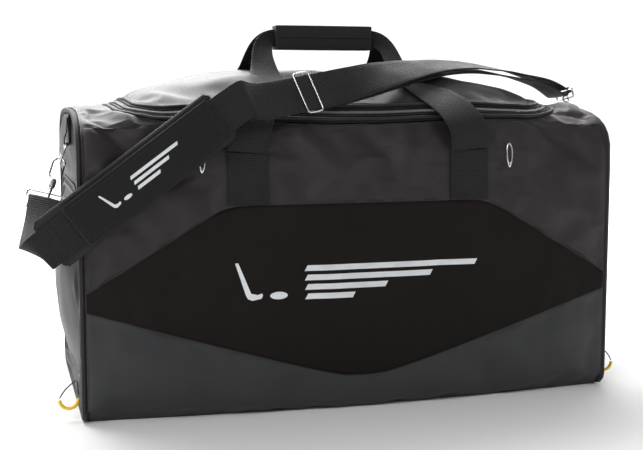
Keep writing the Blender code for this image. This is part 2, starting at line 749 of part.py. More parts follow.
# Straight stretches of the strap: the one the adjuster slides on, and the pad's
STRETCH_START = Vector((-0.1250, -0.2010, 0.4290))
STRETCH_END = Vector((-0.0200, -0.1590, 0.4475))
STRETCH_MIDDLE = (STRETCH_START + STRETCH_END) / 2
STRETCH = (STRETCH_END - STRETCH_START).normalized()
PAD_RUN = Vector((0.248, 0.0, 0.1828)).normalized()
PAD_START = Vector((-0.4245, -0.2220, 0.2434))


def slab(name, centre_near, length, width, low, high, material, corner=0.012):
    """A flat pad along the strap's straight run, with rounded corners."""
    across = Vector((PAD_RUN.z, 0, -PAD_RUN.x))
    outline = []
    for sl, sw in ((1, 1), (0, 1), (0, -1), (1, -1)):
        for k in range(4):
            angle = math.pi / 6 * k
            first, second = math.sin(angle), math.cos(angle)
            if sl == (1 if sw > 0 else 0):
                first, second = second, first
            run = (length - corner + corner * first) if sl else (corner - corner * first)
            outline.append((run, sw * (width / 2 - corner + corner * second)))
    rings = []
    for y in (low, high):
        rings.append([centre_near + PAD_RUN * run + across * side + Vector((0, y, 0)) for run, side in outline])
    return loft(name, rings, material)


def build_pad(padding, overlay):
    clear = WEB / 2 + 0.0006
    slab("pad_base", PAD_START, 0.281, 0.070, clear, clear + 0.0080, padding)
    slab("pad_overlay", PAD_START + PAD_RUN * 0.042, 0.232, 0.060, -clear - 0.0030, -clear, overlay, corner=0.004)




def build_adjuster(metal):
    """A wire frame over the webbing and its middle bar under it."""
    across = square_to(Vector((0.35, -0.35, -0.87)), STRETCH)
    out = across.cross(STRETCH)
    if out.z < 0:
        out = -out
    radius = 0.0015
    rise = WEB / 2 + 0.0007 + radius
    half = STRAP_WIDTH / 2 + 0.004
    reach = 0.0130
    corner = 0.005
    points = []
    for sx, sr in ((1, 1), (-1, 1), (-1, -1), (1, -1)):
        for k in range(4):
            angle = math.pi / 6 * k
            first, second = math.cos(angle), math.sin(angle)
            if sx * sr > 0:
                first, second = second, first
            points.append(STRETCH_MIDDLE + out * rise + STRETCH * sr * (reach - corner + corner * first)
                          + across * sx * (half - corner + corner * second))
    tube("adjuster_frame", points, radius, metal, closed=True, sides=6)
    tube("adjuster_bar", [STRETCH_MIDDLE - out * rise + across * t for t in (-half, half)], radius, metal, sides=6)


def build_slider(name, centre, along, out, opening, metal):
    """A runner: a plate over the fixed tape, with a post in the slot beside the panel that opens."""
    across = out.cross(along)
    outline = [(-0.0060, 0.0006), (-0.0008, 0.0006), (-0.0008, -0.0020), (0.0008, -0.0020),
               (0.0008, 0.0006), (0.0012, 0.0006), (0.0012, 0.0030), (-0.0050, 0.0030)]
    if across.dot(opening) < 0:
        outline = [(-a, b) for a, b in reversed(outline)]
    rings = [[centre + along * run + across * a + out * b for a, b in outline] for run in (-0.0060, 0.0060)]
    return loft(name, rings, metal)


LID_SLIDERS = {"left": -0.2120, "right": -0.1940}


def build_lid_sliders(metal):
    for side, x in LID_SLIDERS.items():
        v = v_at_y(x, ZIP_FRONT)
        centre = top_point(x, ZIP_FRONT)
        out = skin_normal(x, v)
        down = Vector((1, 0, 0)).cross(out)
        build_slider("lid_" + side + "_slider", centre, Vector((1, 0, 0)), out, Vector((0, 1, 0)), metal)
        hinge = centre + out * 0.0045
        rows = []
        for run in (0.0, 0.012, 0.030):
            place = hinge + down * run + out * run * 0.12
            rows.append((*place, 1.0, 0.0, 0.0, 0.0080 - run * 0.05))
        ribbon("lid_" + side + "_pull", rows, metal, thickness=0.0014)


def build_pocket_pulls(metal, cord, yellow):
    for side, sign in (("left", -1), ("right", 1)):
        out = Vector((sign, 0, 0))
        centre = Vector((sign * (END_FACE + 0.0012), -DOOR_ZIP_Y, 0.0560))
        build_slider(side + "_pocket_slider", centre, Vector((0, 0, 1)), out, Vector((0, 1, 0)), metal)
        middle_x = END_FACE + 0.0185
        grip_z = 0.0285
        radius = 0.0125
        y = PULL_Y
        bend = [(sign * (middle_x + radius * math.cos(math.pi * k / 10)), y,
                 grip_z - radius * math.sin(math.pi * k / 10)) for k in range(11)]
        tube(side + "_pull_grip", bend, 0.0026, yellow, sides=8)
        top = (END_FACE + 0.0062, 0.0560)
        near = middle_x - radius
        far = middle_x + radius
        loop = [(sign * far, y, grip_z + 0.0012), (sign * (far - 0.006), y, 0.0420),
                (sign * (top[0] + 0.002), y, top[1] - 0.001), (sign * top[0], y, top[1] - 0.003),
                (sign * near, y, grip_z + 0.0012)]
        tube(side + "_pull_cord", loop, 0.0011, cord, sides=6)


def build_eyelets(metal):
    """Slim oval vents near the upper corners of the front."""
    count = 12
    for side, sign in (("left", -1), ("right", 1)):
        loops = []
        for half_w, half_h, height in ((0.0055, 0.0150, 0.0004), (0.0055, 0.0150, 0.0022),
                                       (0.0028, 0.0115, 0.0022), (0.0028, 0.0115, 0.0004)):
            loop = []
            for k in range(count):
                angle = 2 * math.pi * k / count
                x = sign * EYELET_X + half_w * math.cos(angle)
                loop.append(on_skin(x, EYELET_Z + half_h * math.sin(angle), height))
            loops.append(loop)
        loft("front_" + side + "_eyelet", loops, metal, closed=True, smooth=True)


def main():
    for obj in list(bpy.data.objects):
        bpy.data.objects.remove(obj)
    fabric = principled("body_fabric", (0.045, 0.040, 0.040), 0.75)
    insert = principled("insert_fabric", (0.018, 0.016, 0.016), 0.85)
    coated = principled("coated_base", (0.052, 0.054, 0.058), 0.60)
    webbing = principled("webbing", (0.030, 0.031, 0.033), 0.80)
    padding = principled("padding", (0.032, 0.031, 0.032), 0.80)
    overlay = principled("pad_cover", (0.040, 0.039, 0.041), 0.70)
    tape = principled("zip_tape", (0.020, 0.020, 0.021), 0.70)
    nickel = principled("nickel", (0.72, 0.71, 0.69), 0.25, 1.0)
    lever = principled("dark_metal", (0.10, 0.09, 0.09), 0.40, 1.0)
    cord = principled("pull_cord", (0.02, 0.02, 0.02), 0.80)
    yellow = principled("pull_yellow", (0.80, 0.48, 0.02), 0.45)

    build_walls(fabric, insert, coated)
    build_shoulders(fabric)
    build_zip_tape("lid_zip_tape_body", TOOTH_GAP, TAPE - SEAM_GAP, tape)
    build_zip_tape("lid_zip_tape_lid", -TAPE + SEAM_GAP, -TOOTH_GAP, tape)
    build_lid(fabric)
    build_ends(fabric, insert, tape, webbing)
    box("base_board", (-0.372, -0.176, 0.0034), (0.372, 0.176, 0.0064), insert)
    build_handles(webbing, padding)
    build_dees(nickel, webbing)
    for side in ("left", "right"):
        build_hook(side, nickel, lever)
        build_ring(side, nickel)
    build_strap(webbing, padding, overlay, nickel)
    build_lid_sliders(nickel)
    build_pocket_pulls(nickel, cord, yellow)
    build_eyelets(nickel)


main()
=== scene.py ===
"""Looks of a hockey equipment bag: sewn fabric shells, webbing, zippers and metal fittings round
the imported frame. Every place is in metres in the frame's own axes."""

import math

import bmesh
import bpy
import numpy as np
from bpy.props import FloatProperty, FloatVectorProperty, IntProperty, PointerProperty
from mathutils import Euler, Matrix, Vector, noise
from mathutils.bvhtree import BVHTree


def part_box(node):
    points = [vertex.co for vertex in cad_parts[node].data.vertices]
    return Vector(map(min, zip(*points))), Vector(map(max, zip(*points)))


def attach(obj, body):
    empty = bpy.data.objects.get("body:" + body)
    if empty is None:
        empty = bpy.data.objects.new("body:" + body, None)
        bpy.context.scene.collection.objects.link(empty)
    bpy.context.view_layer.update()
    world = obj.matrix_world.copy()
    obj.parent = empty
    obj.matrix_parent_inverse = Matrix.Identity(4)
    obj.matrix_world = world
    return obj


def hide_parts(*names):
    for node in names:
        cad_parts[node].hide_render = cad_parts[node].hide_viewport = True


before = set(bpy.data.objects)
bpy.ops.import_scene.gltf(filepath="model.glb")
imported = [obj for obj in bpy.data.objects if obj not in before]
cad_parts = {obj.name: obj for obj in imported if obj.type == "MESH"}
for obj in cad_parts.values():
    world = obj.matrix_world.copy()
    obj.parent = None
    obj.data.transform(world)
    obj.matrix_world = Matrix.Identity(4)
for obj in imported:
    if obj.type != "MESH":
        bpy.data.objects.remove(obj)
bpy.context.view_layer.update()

bl_info = {
    "name": "Hockey Equipment Bag",
    "version": (1, 0, 0),
    "blender": (4, 5, 0),
    "location": "View3D > Sidebar > Bag",
    "description": "Builds the fabric, webbing, zippers and fittings of a hockey equipment bag",
    "category": "Object",
}

MERGE = 1e-5
ENDS = (("left", -1), ("right", 1))
FACES = (("front", -1), ("rear", 1))
CORNERS = [(face, side) for face, _ in FACES for side, _ in ENDS]


# ---------------------------------------------------------------- sizes and colours

def length(name, description, default):
    return FloatProperty(name=name, description=description, default=default, min=0.0, unit="LENGTH")


def amount(name, description, default):
    return FloatProperty(name=name, description=description, default=default, min=0.0)


def colour(name, description, default):
    return FloatVectorProperty(name=name, description=description, default=default, subtype="COLOR",
                               size=3, min=0.0, max=1.0)


class BagSizes(bpy.types.PropertyGroup):
    cloth_thickness: length("Cloth thickness", "Thickness of a fabric shell with its lining", 0.0018)
    cloth_slack: FloatProperty(name="Cloth slack", description="Extra cloth between the seams, as a share",
                               default=0.040, min=0.0, max=0.1)
    fold_out: length("Fold rise", "How far a fold may stand out of its panel", 0.0080)
    fold_in: length("Fold depth", "How far a hollow may sink into its panel", 0.0110)
    weave_pitch: length("Weave pitch", "Distance between two threads of the fabric", 0.0011)
    rib_pitch: length("Rib pitch", "Distance between two ribs of the webbing", 0.0036)
    welt: length("Welt radius", "Radius of the turned seam between two panels", 0.0013)
    zip_cord: length("Zipper piping", "Radius of the piping along the main zipper", 0.0027)
    tooth_pitch: length("Tooth pitch", "Distance between two teeth of the main zipper", 0.0026)
    stitch: length("Stitch length", "Length of one stitch", 0.0034)
    solver_steps: IntProperty(name="Cloth frames", description="Frames of cloth simulation", default=20,
                              min=1, max=60)


class BagColours(bpy.types.PropertyGroup):
    body: colour("Body", "Fabric of the body and lid", (0.0150, 0.0110, 0.0116))
    insert: colour("Insert", "Dense fabric of the long front and back inserts", (0.0110, 0.0084, 0.0080))
    coated: colour("Coated base", "Coated fabric of the base", (0.0300, 0.0308, 0.0325))
    webbing: colour("Webbing", "Handles and shoulder strap", (0.0065, 0.0062, 0.0063))
    padding: colour("Padding", "Grip and edges of the shoulder pad", (0.0125, 0.0120, 0.0125))
    pad_cover: colour("Pad cover", "Pressed cover of the shoulder pad", (0.0050, 0.0042, 0.0044))
    lining: colour("Lining", "Inside of the bag", (0.020, 0.020, 0.022))
    tape: colour("Zipper tape", "Woven tape and piping of the zippers", (0.011, 0.011, 0.012))
    teeth: colour("Teeth", "Moulded teeth", (0.16, 0.16, 0.165))
    nickel: colour("Nickel", "Rings, hooks and sliders", (0.72, 0.70, 0.67))
    lever: colour("Lever", "Dark plated part of the snap hooks", (0.10, 0.09, 0.09))
    cord: colour("Pull cord", "Cord of the pocket pulls", (0.012, 0.012, 0.012))
    yellow: colour("Yellow", "Moulded pocket pulls", (0.92, 0.60, 0.045))
    mark: colour("Print", "Silver print of the emblems", (0.74, 0.76, 0.78))


class StageSettings(bpy.types.PropertyGroup):
    lens: amount("Lens", "Focal length in millimetres", 64.6)
    key: amount("Key light", "Power of the big front light in watts", 36.0)
    fill: amount("Fill light", "Power of the side light in watts", 8.0)
    top: amount("Top light", "Power of the overhead light in watts", 62.0)
    back: amount("Back light", "Power of the light over the floor behind, in watts", 520.0)
    front_wall: amount("Front wall", "Brightness of the room behind the camera", 0.24)
    back_wall: amount("Back wall", "Brightness of the room behind the bag", 1.15)
    floor: colour("Floor", "Colour of the floor", (0.88, 0.88, 0.88))


def sizes():
    return bpy.context.scene.bag_sizes


# ---------------------------------------------------------------- working by hand

def deselect():
    if bpy.context.object and bpy.context.object.mode != "OBJECT":
        bpy.ops.object.mode_set(mode="OBJECT")
    for obj in bpy.context.selected_objects:
        obj.select_set(False)


def activate(obj):
    deselect()
    obj.select_set(True)
    bpy.context.view_layer.objects.active = obj


def apply_modifiers(obj):
    activate(obj)
    for modifier in list(obj.modifiers):
        bpy.ops.object.modifier_apply(modifier=modifier.name)


def smooth(obj, angle=40):
    activate(obj)
    bpy.ops.object.shade_smooth_by_angle(angle=math.radians(angle), keep_sharp_edges=False)


def placed(name, data):
    """A new object in the scene."""
    obj = bpy.data.objects.new(name, data)
    bpy.context.scene.collection.objects.link(obj)
    return obj


def merged_copy(node, name, quads=True):
    """A copy of a CAD node with its loose triangles joined, ready to shape."""
    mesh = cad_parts[node].data.copy()
    obj = placed(name, mesh)
    mesh.materials.clear()
    activate(obj)
    if mesh.has_custom_normals:
        bpy.ops.mesh.customdata_custom_splitnormals_clear()
    bpy.ops.object.mode_set(mode="EDIT")
    bpy.ops.mesh.select_all(action="SELECT")
    bpy.ops.mesh.remove_doubles(threshold=MERGE)
    if quads:
        bpy.ops.mesh.tris_convert_to_quads(face_threshold=math.radians(50), shape_threshold=math.radians(180))
    bpy.ops.object.mode_set(mode="OBJECT")
    return obj


def add_subdivision(obj, levels, simple=False):
    modifier = obj.modifiers.new("Subdivision", "SUBSURF")
    modifier.levels = levels
    modifier.render_levels = levels
    modifier.subdivision_type = "SIMPLE" if simple else "CATMULL_CLARK"
    modifier.boundary_smooth = "PRESERVE_CORNERS"
    return modifier


def add_thickness(obj, thickness, offset=-1.0):
    modifier = obj.modifiers.new("Thickness", "SOLIDIFY")
    modifier.thickness = thickness
    modifier.offset = offset
    modifier.use_even_offset = False
    return modifier


def add_bevel(obj, width, segments=2, angle=35):
    modifier = obj.modifiers.new("Bevel", "BEVEL")
    modifier.width = width
    modifier.segments = segments
    modifier.limit_method = "ANGLE"
    modifier.angle_limit = math.radians(angle)
    return modifier


def remade(node_name, name, *steps, angle=40):
    """A copy of a CAD node taken through some modifiers: each step is a function and its values."""
    obj = merged_copy(node_name, name)
    for add, *values in steps:
        add(obj, *values)
    apply_modifiers(obj)
    smooth(obj, angle)
    return obj


def finish_piece(obj, body, finish, nodes=()):
    """Give a piece its finish and the CAD body it moves with."""
    obj.data.materials.clear()
    obj.data.materials.append(finish_of(finish))
    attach(obj, body)
    if nodes:
        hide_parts(*nodes)
    deselect()
    return obj


def smooth_run(points, spacing):
    """A smooth line through the points, with even spacing. Each point may carry extra values."""
    rows = np.array(points, float)
    fine = []
    for i in range(len(rows) - 1):
        before = rows[max(i - 1, 0)]
        after = rows[min(i + 2, len(rows) - 1)]
        for t in np.linspace(0, 1, 13)[:-1]:
            a, b, c, d = before, rows[i], rows[i + 1], after
            fine.append(0.5 * (2 * b + (c - a) * t + (2 * a - 5 * b + 4 * c - d) * t * t
                               + (3 * b - a - 3 * c + d) * t ** 3))
    fine.append(rows[-1])
    fine = np.array(fine)
    run = np.concatenate([[0], np.cumsum(np.linalg.norm(np.diff(fine[:, :3], axis=0), axis=1))])
    even = np.linspace(0, run[-1], max(2, int(run[-1] / spacing) + 1))
    return np.array([np.interp(even, run, fine[:, k]) for k in range(rows.shape[1])]).T, even


def rope(name, points, radius, closed=False, sides=3):
    """A round cord or piping along a line of points."""
    deselect()
    bpy.ops.curve.primitive_nurbs_path_add()
    obj = bpy.context.object
    obj.name = name
    obj.data.name = name
    obj.data.splines.clear()
    line = obj.data.splines.new("POLY")
    line.points.add(len(points) - 1)
    for place, point in zip(line.points, points):
        place.co = (*point, 1.0)
    line.use_cyclic_u = closed
    obj.data.dimensions = "3D"
    obj.data.bevel_depth = radius
    obj.data.bevel_resolution = sides
    obj.data.use_fill_caps = not closed
    bpy.ops.object.convert(target="MESH")
    obj = bpy.context.object
    smooth(obj, 60)
    bpy.ops.object.transform_apply(location=True, rotation=True, scale=True)
    return obj


def copies_along(name, template, stations):
    """One mesh holding a copy of the template at each station (place, run, side, up)."""
    base = np.array([v.co for v in template.data.vertices], float)
    polygons = [tuple(p.vertices) for p in template.data.polygons]
    verts = []
    faces = []
    for place, run, side, up in stations:
        turn = np.array([run, side, up], float)
        shift = len(verts)
        verts.extend((base @ turn + np.array(place, float)).tolist())
        faces.extend([tuple(shift + k for k in face) for face in polygons])
    mesh = bpy.data.meshes.new(name)
    mesh.from_pydata(verts, [], faces)
    obj = placed(name, mesh)
    bpy.data.objects.remove(template)
    smooth(obj, 50)
    return obj


def rounded_block(size, bevel, segments=1):
    """A template block with rounded edges, at the origin."""
    deselect()
    bpy.ops.mesh.primitive_cube_add(size=1.0)
    block = bpy.context.object
    block.scale = size
    bpy.ops.object.transform_apply(location=True, rotation=True, scale=True)
    add_bevel(block, bevel, segments)
    apply_modifiers(block)
    return block


# ---------------------------------------------------------------- node groups

def group(name, inputs, outputs):
    """An empty shader node group with named float inputs and outputs."""
    tree = bpy.data.node_groups.new(name, "ShaderNodeTree")
    for label, value in inputs:
        socket = tree.interface.new_socket(label, in_out="INPUT", socket_type="NodeSocketFloat")
        socket.default_value = value
    for label in outputs:
        tree.interface.new_socket(label, in_out="OUTPUT", socket_type="NodeSocketFloat")
    tree.nodes.new("NodeGroupInput")
    tree.nodes.new("NodeGroupOutput")
    return tree


def node(tree, kind, inputs=(), **settings):
    made = tree.nodes.new(kind)
    for key, value in settings.items():
        setattr(made, key, value)
    for key, value in dict(inputs).items():
        if isinstance(value, bpy.types.NodeSocket):
            tree.links.new(value, made.inputs[key])
        else:
            made.inputs[key].default_value = value
    return made


def speckle(tree, place, scale, **inputs):
    """Noise of a scale, with the node's other inputs as given."""
    return node(tree, "ShaderNodeTexNoise", {"Vector": place, "Scale": scale, **inputs}).outputs[0]


def math_node(tree, operation, a, b=0.0, c=0.0):
    return node(tree, "ShaderNodeMath", {0: a, 1: b, 2: c}, operation=operation).outputs[0]


def thread_lattice():
    """Egg-crate weave that reads on a surface facing any way."""
    if "Thread lattice" in bpy.data.node_groups:
        return bpy.data.node_groups["Thread lattice"]
    tree = group("Thread lattice", [("Pitch", 0.001), ("Unevenness", 0.3)], ["Height", "Mottle"])
    source = tree.nodes["Group Input"].outputs
    place = node(tree, "ShaderNodeTexCoord").outputs["Object"]
    parts = node(tree, "ShaderNodeSeparateXYZ", {0: place}).outputs
    turns = math_node(tree, "DIVIDE", 2 * math.pi, source["Pitch"])
    waves = [math_node(tree, "SINE", math_node(tree, "MULTIPLY", part, turns)) for part in parts]
    total = math_node(tree, "ADD", math_node(tree, "ADD", waves[0], waves[1]), waves[2])
    slub = speckle(tree, place, 420.0, Detail=2.0)
    uneven = math_node(tree, "MULTIPLY", slub, source["Unevenness"])
    height = math_node(tree, "MULTIPLY_ADD", total, 0.17, uneven)
    mottle = speckle(tree, place, 9.0, Detail=4.0, Roughness=0.6)
    out = tree.nodes["Group Output"].inputs
    tree.links.new(height, out["Height"])
    tree.links.new(mottle, out["Mottle"])
    return tree


def webbing_ribs():
    """Ribs across a strap with a herringbone of threads, following the piece's own UV map in metres. Its
    second output is painted light for the strap's colour: painted shade between the ribs and a mottle of
    painted highlights.
    """
    if "Webbing ribs" in bpy.data.node_groups:
        return bpy.data.node_groups["Webbing ribs"]
    tree = group("Webbing ribs", [("Pitch", 0.002)], ["Height", "Shade"])
    source = tree.nodes["Group Input"].outputs
    place = node(tree, "ShaderNodeUVMap", uv_map="strip").outputs[0]
    parts = node(tree, "ShaderNodeSeparateXYZ", {0: place}).outputs
    turns = math_node(tree, "DIVIDE", 2 * math.pi, source["Pitch"])
    run = math_node(tree, "MULTIPLY", parts[0], turns)
    across = math_node(tree, "MULTIPLY", parts[1], turns)
    swing = math_node(tree, "SINE", math_node(tree, "MULTIPLY", across, 0.5))
    zigzag = math_node(tree, "MULTIPLY", swing, 0.9)
    ribs = math_node(tree, "SINE", math_node(tree, "ADD", run, zigzag))
    warp = math_node(tree, "SINE", math_node(tree, "MULTIPLY", across, 1.6))
    fuzz = speckle(tree, place, 900.0, Detail=2.0)
    height = math_node(tree, "MULTIPLY_ADD", ribs, 0.35, math_node(tree, "MULTIPLY_ADD", warp, 0.15, fuzz))
    # Painted highlights: a soft noise mottle that lightens patches of the strap's colour (the same output
    # also sets its roughness).
    painted_highlight_mottle = speckle(tree, place, 30.0, Detail=3.0)
    # Painted light: the ribs lighten and darken the colour in lines, with painted shade between them, and the
    # highlight mottle is laid on top.
    shade = math_node(tree, "MULTIPLY_ADD", ribs, 0.30, painted_highlight_mottle)
    out = tree.nodes["Group Output"].inputs
    tree.links.new(height, out["Height"])
    tree.links.new(shade, out["Shade"])
    return tree


def fine_scuffs():
    """Hairline scuffs and handling marks for metal and moulded pieces."""
    if "Fine scuffs" in bpy.data.node_groups:
        return bpy.data.node_groups["Fine scuffs"]
    tree = group("Fine scuffs", [("Scale", 300.0)], ["Mark", "Grain"])
    source = tree.nodes["Group Input"].outputs
    place = node(tree, "ShaderNodeTexCoord").outputs["Object"]
    stretched = node(tree, "ShaderNodeMapping", {0: place, 3: (1.0, 0.25, 3.0)}).outputs[0]
    mark = speckle(tree, stretched, source["Scale"], Detail=5.0)
    grain = speckle(tree, place, 2200.0, Detail=1.0)
    out = tree.nodes["Group Output"].inputs
    tree.links.new(mark, out["Mark"])
    tree.links.new(grain, out["Grain"])
    return tree


# ---------------------------------------------------------------- finishes

def shaded(name, rgb, spread_by, low, high):
    """A new material whose colour runs between two shades of rgb. Returns it with its shader."""
    material = bpy.data.materials.new(name + "_finish")
    material.use_nodes = True
    tree = material.node_tree
    shader = tree.nodes["Principled BSDF"]
    effect = node(tree, "ShaderNodeGroup", node_tree=spread_by)
    ramp = node(tree, "ShaderNodeValToRGB")
    dark, light = ramp.color_ramp.elements
    dark.color = (*[c * low for c in rgb], 1)
    light.color = (*[c * high for c in rgb], 1)
    dark.position = 0.30
    light.position = 0.70
    tree.links.new(ramp.outputs[0], shader.inputs["Base Color"])
    return material, tree, shader, effect, ramp


def rough_between(tree, shader, source, low, high):
    span = node(tree, "ShaderNodeMapRange", {0: source, 3: low, 4: high})
    tree.links.new(span.outputs[0], shader.inputs["Roughness"])


def bump_from(tree, shader, height, strength, distance):
    bump = node(tree, "ShaderNodeBump", {"Height": height, "Strength": strength, "Distance": distance})
    tree.links.new(bump.outputs[0], shader.inputs["Normal"])
    return bump


def cloth_finish(name, rgb, pitch_share, rough, sheen, bump, specular, low, high):
    material, tree, shader, effect, ramp = shaded(name, rgb, thread_lattice(), low, high)
    effect.inputs["Pitch"].default_value = sizes().weave_pitch * pitch_share
    # The weave's height lightens the thread crests and darkens the hollows between them in the colour:
    # painted shade at thread scale, mixed with the cloth's random mottle of tone.
    mixed = math_node(tree, "MULTIPLY_ADD", effect.outputs["Height"], 0.25, effect.outputs["Mottle"])
    mixed = math_node(tree, "SUBTRACT", mixed, 0.06)
    tree.links.new(mixed, ramp.inputs[0])
    rough_between(tree, shader, effect.outputs["Mottle"], *rough)
    bump_from(tree, shader, effect.outputs["Height"], bump, 0.0004)
    shader.inputs["Sheen Weight"].default_value = sheen
    shader.inputs["Sheen Roughness"].default_value = 0.45
    shader.inputs["Specular IOR Level"].default_value = specular
    return material


def strap_finish(name, rgb, rough):
    material, tree, shader, effect, ramp = shaded(name, rgb, webbing_ribs(), 0.45, 1.75)
    effect.inputs["Pitch"].default_value = sizes().rib_pitch
    # The strap's colour follows the painted light of the ribs: painted shade between the ribs and painted
    # highlight patches, from 0.45 to 1.75 of the webbing colour.
    tree.links.new(effect.outputs["Shade"], ramp.inputs[0])
    rough_between(tree, shader, effect.outputs["Shade"], *rough)
    bump_from(tree, shader, effect.outputs["Height"], 0.9, 0.0009)
    shader.inputs["Sheen Weight"].default_value = 0.06
    shader.inputs["Sheen Roughness"].default_value = 0.5
    shader.inputs["Specular IOR Level"].default_value = 0.30
    return material


def hard_finish(name, rgb, metallic, rough, low, high, scale, coat):
    material, tree, shader, effect, ramp = shaded(name, rgb, fine_scuffs(), low, high)
    effect.inputs["Scale"].default_value = scale
    tree.links.new(effect.outputs["Mark"], ramp.inputs[0])
    rough_between(tree, shader, effect.outputs["Mark"], *rough)
    bump_from(tree, shader, effect.outputs["Grain"], 0.12, 0.0001)
    shader.inputs["Metallic"].default_value = metallic
    shader.inputs["Coat Weight"].default_value = coat
    return material


def paints():
    return bpy.context.scene.bag_colours


# weave scale, roughness from and to, sheen, bump, specular, darkest and lightest shade
CLOTHS = {
    "body_fabric": ("body", 1.0, (0.44, 0.58), 0.04, 0.55, 0.40, 0.82, 1.20),
    "insert_fabric": ("insert", 0.9, (0.70, 0.82), 0.02, 0.45, 0.12, 0.88, 1.12),
    "coated_base": ("coated", 1.3, (0.46, 0.56), 0.02, 0.22, 0.35, 0.93, 1.07),
    "lining": ("lining", 1.0, (0.60, 0.75), 0.03, 0.30, 0.25, 0.82, 1.20),
    "zip_tape": ("tape", 0.8, (0.55, 0.70), 0.04, 0.50, 0.25, 0.82, 1.20),
    "piping": ("tape", 0.8, (0.50, 0.62), 0.05, 0.40, 0.35, 0.90, 1.30),
    "padding": ("padding", 1.2, (0.52, 0.68), 0.06, 0.60, 0.30, 0.82, 1.20),
    "pad_cover": ("pad_cover", 0.8, (0.50, 0.60), 0.02, 0.25, 0.25, 0.90, 1.10),
    "thread": ("webbing", 0.5, (0.50, 0.60), 0.10, 0.20, 0.40, 1.50, 2.30),
    "pull_cord": ("cord", 0.7, (0.60, 0.75), 0.20, 0.70, 0.40, 0.82, 1.20),
}
# metallic, roughness from and to, darkest and lightest shade, scale of the marks, coat
HARD = {
    "teeth": ("teeth", 0.0, (0.30, 0.45), 0.88, 1.05, 300.0, 0.1),
    "nickel": ("nickel", 1.0, (0.16, 0.34), 0.88, 1.05, 300.0, 0.0),
    "dark_metal": ("lever", 1.0, (0.30, 0.48), 0.88, 1.05, 300.0, 0.0),
    "pull_yellow": ("yellow", 0.0, (0.38, 0.52), 0.92, 1.06, 90.0, 0.0),
    "silver_print": ("mark", 0.35, (0.34, 0.46), 0.95, 1.05, 60.0, 0.0),
}


def finish_of(name):
    """The material of a finish, made the first time it is asked for."""
    if name + "_finish" in bpy.data.materials:
        return bpy.data.materials[name + "_finish"]
    if name == "webbing":
        return strap_finish(name, paints().webbing, (0.55, 0.72))
    make, (paint, *values) = (cloth_finish, CLOTHS[name]) if name in CLOTHS else (hard_finish, HARD[name])
    return make(name, getattr(paints(), paint), *values)


# ---------------------------------------------------------------- sewn shells

FOLDS = [
    # start, end, width, height: soft ridges (and hollows) that the stuffed bag's fabric falls into
    ((-0.345, -0.120, 0.430), (-0.300, -0.185, 0.395), 0.014, 0.0050),
    ((-0.370, -0.165, 0.405), (-0.300, -0.202, 0.350), 0.013, -0.0040),
    ((-0.372, -0.196, 0.350), (-0.310, -0.208, 0.290), 0.016, 0.0035),
    ((-0.200, -0.214, 0.300), (-0.160, -0.216, 0.262), 0.012, 0.0035),
    ((-0.110, -0.216, 0.300), (-0.010, -0.217, 0.330), 0.012, -0.0035),
    ((0.070, -0.216, 0.300), (0.120, -0.216, 0.340), 0.012, -0.0040),
    ((0.250, -0.208, 0.330), (0.300, -0.209, 0.270), 0.013, 0.0035),
    ((0.330, -0.204, 0.320), (0.372, -0.203, 0.240), 0.014, -0.0035),
    ((-0.372, -0.060, 0.425), (-0.325, -0.010, 0.440), 0.012, 0.0040),
    ((-0.355, 0.040, 0.430), (-0.330, 0.120, 0.430), 0.016, 0.0040),
    ((-0.330, -0.205, 0.350), (-0.215, -0.213, 0.318), 0.016, -0.0040),
    ((-0.100, -0.190, 0.395), (-0.030, -0.215, 0.335), 0.015, 0.0045),
    ((-0.020, -0.185, 0.400), (0.060, -0.216, 0.345), 0.017, -0.0045),
    ((0.020, -0.205, 0.375), (0.105, -0.216, 0.350), 0.012, 0.0035),
    ((0.200, -0.190, 0.390), (0.280, -0.209, 0.330), 0.016, 0.0040),
    ((0.270, -0.180, 0.395), (0.360, -0.203, 0.345), 0.014, -0.0040),
    ((0.210, -0.213, 0.300), (0.350, -0.203, 0.255), 0.018, 0.0030),
    ((0.340, -0.160, 0.410), (0.372, -0.060, 0.420), 0.016, 0.0040),
    ((-0.210, -0.100, 0.450), (-0.080, -0.060, 0.462), 0.018, 0.0035),
    ((-0.060, -0.140, 0.438), (0.070, -0.120, 0.446), 0.014, -0.0030),
    ((0.060, -0.060, 0.462), (0.240, -0.110, 0.440), 0.018, 0.0035),
    ((0.120, 0.060, 0.460), (0.260, 0.020, 0.450), 0.020, 0.0030),
    ((-0.250, 0.080, 0.445), (-0.060, 0.020, 0.464), 0.020, 0.0030),
    ((-0.360, -0.204, 0.120), (-0.250, -0.210, 0.060), 0.020, 0.0030),
    ((0.240, -0.210, 0.070), (0.365, -0.204, 0.110), 0.018, 0.0030),
    ((-0.200, 0.214, 0.340), (-0.080, 0.216, 0.300), 0.018, 0.0040),
    ((0.060, 0.216, 0.350), (0.200, 0.212, 0.310), 0.018, -0.0040),
    ((-0.395, -0.100, 0.270), (-0.400, -0.085, 0.100), 0.014, 0.0026),
    ((-0.395, -0.030, 0.280), (-0.402, -0.040, 0.140), 0.014, -0.0026),
    ((-0.395, 0.070, 0.270), (-0.402, 0.060, 0.090), 0.016, 0.0024),
    ((0.395, -0.080, 0.270), (0.402, -0.060, 0.100), 0.016, 0.0024),
    ((0.395, 0.050, 0.280), (0.402, 0.040, 0.120), 0.014, -0.0024),
]
SEWN_MARGIN = 0.004
CORNER_ANGLE = 140.0
FOLD_GAIN = 2.0
RIM_EDGE = 0.0031
LEAST_FACING = 0.3
RIM_SHARE = 0.35
MOST_SLIDE = 0.004


UP = Vector((0, 0, 1))
AXIS_HEIGHT = 0.21


def outward_at(place, outward):
    """The direction a panel's outer side looks: given, or for the walls away from the bag's middle."""
    return outward or Vector((0, place.y, place.z - AXIS_HEIGHT)).normalized()


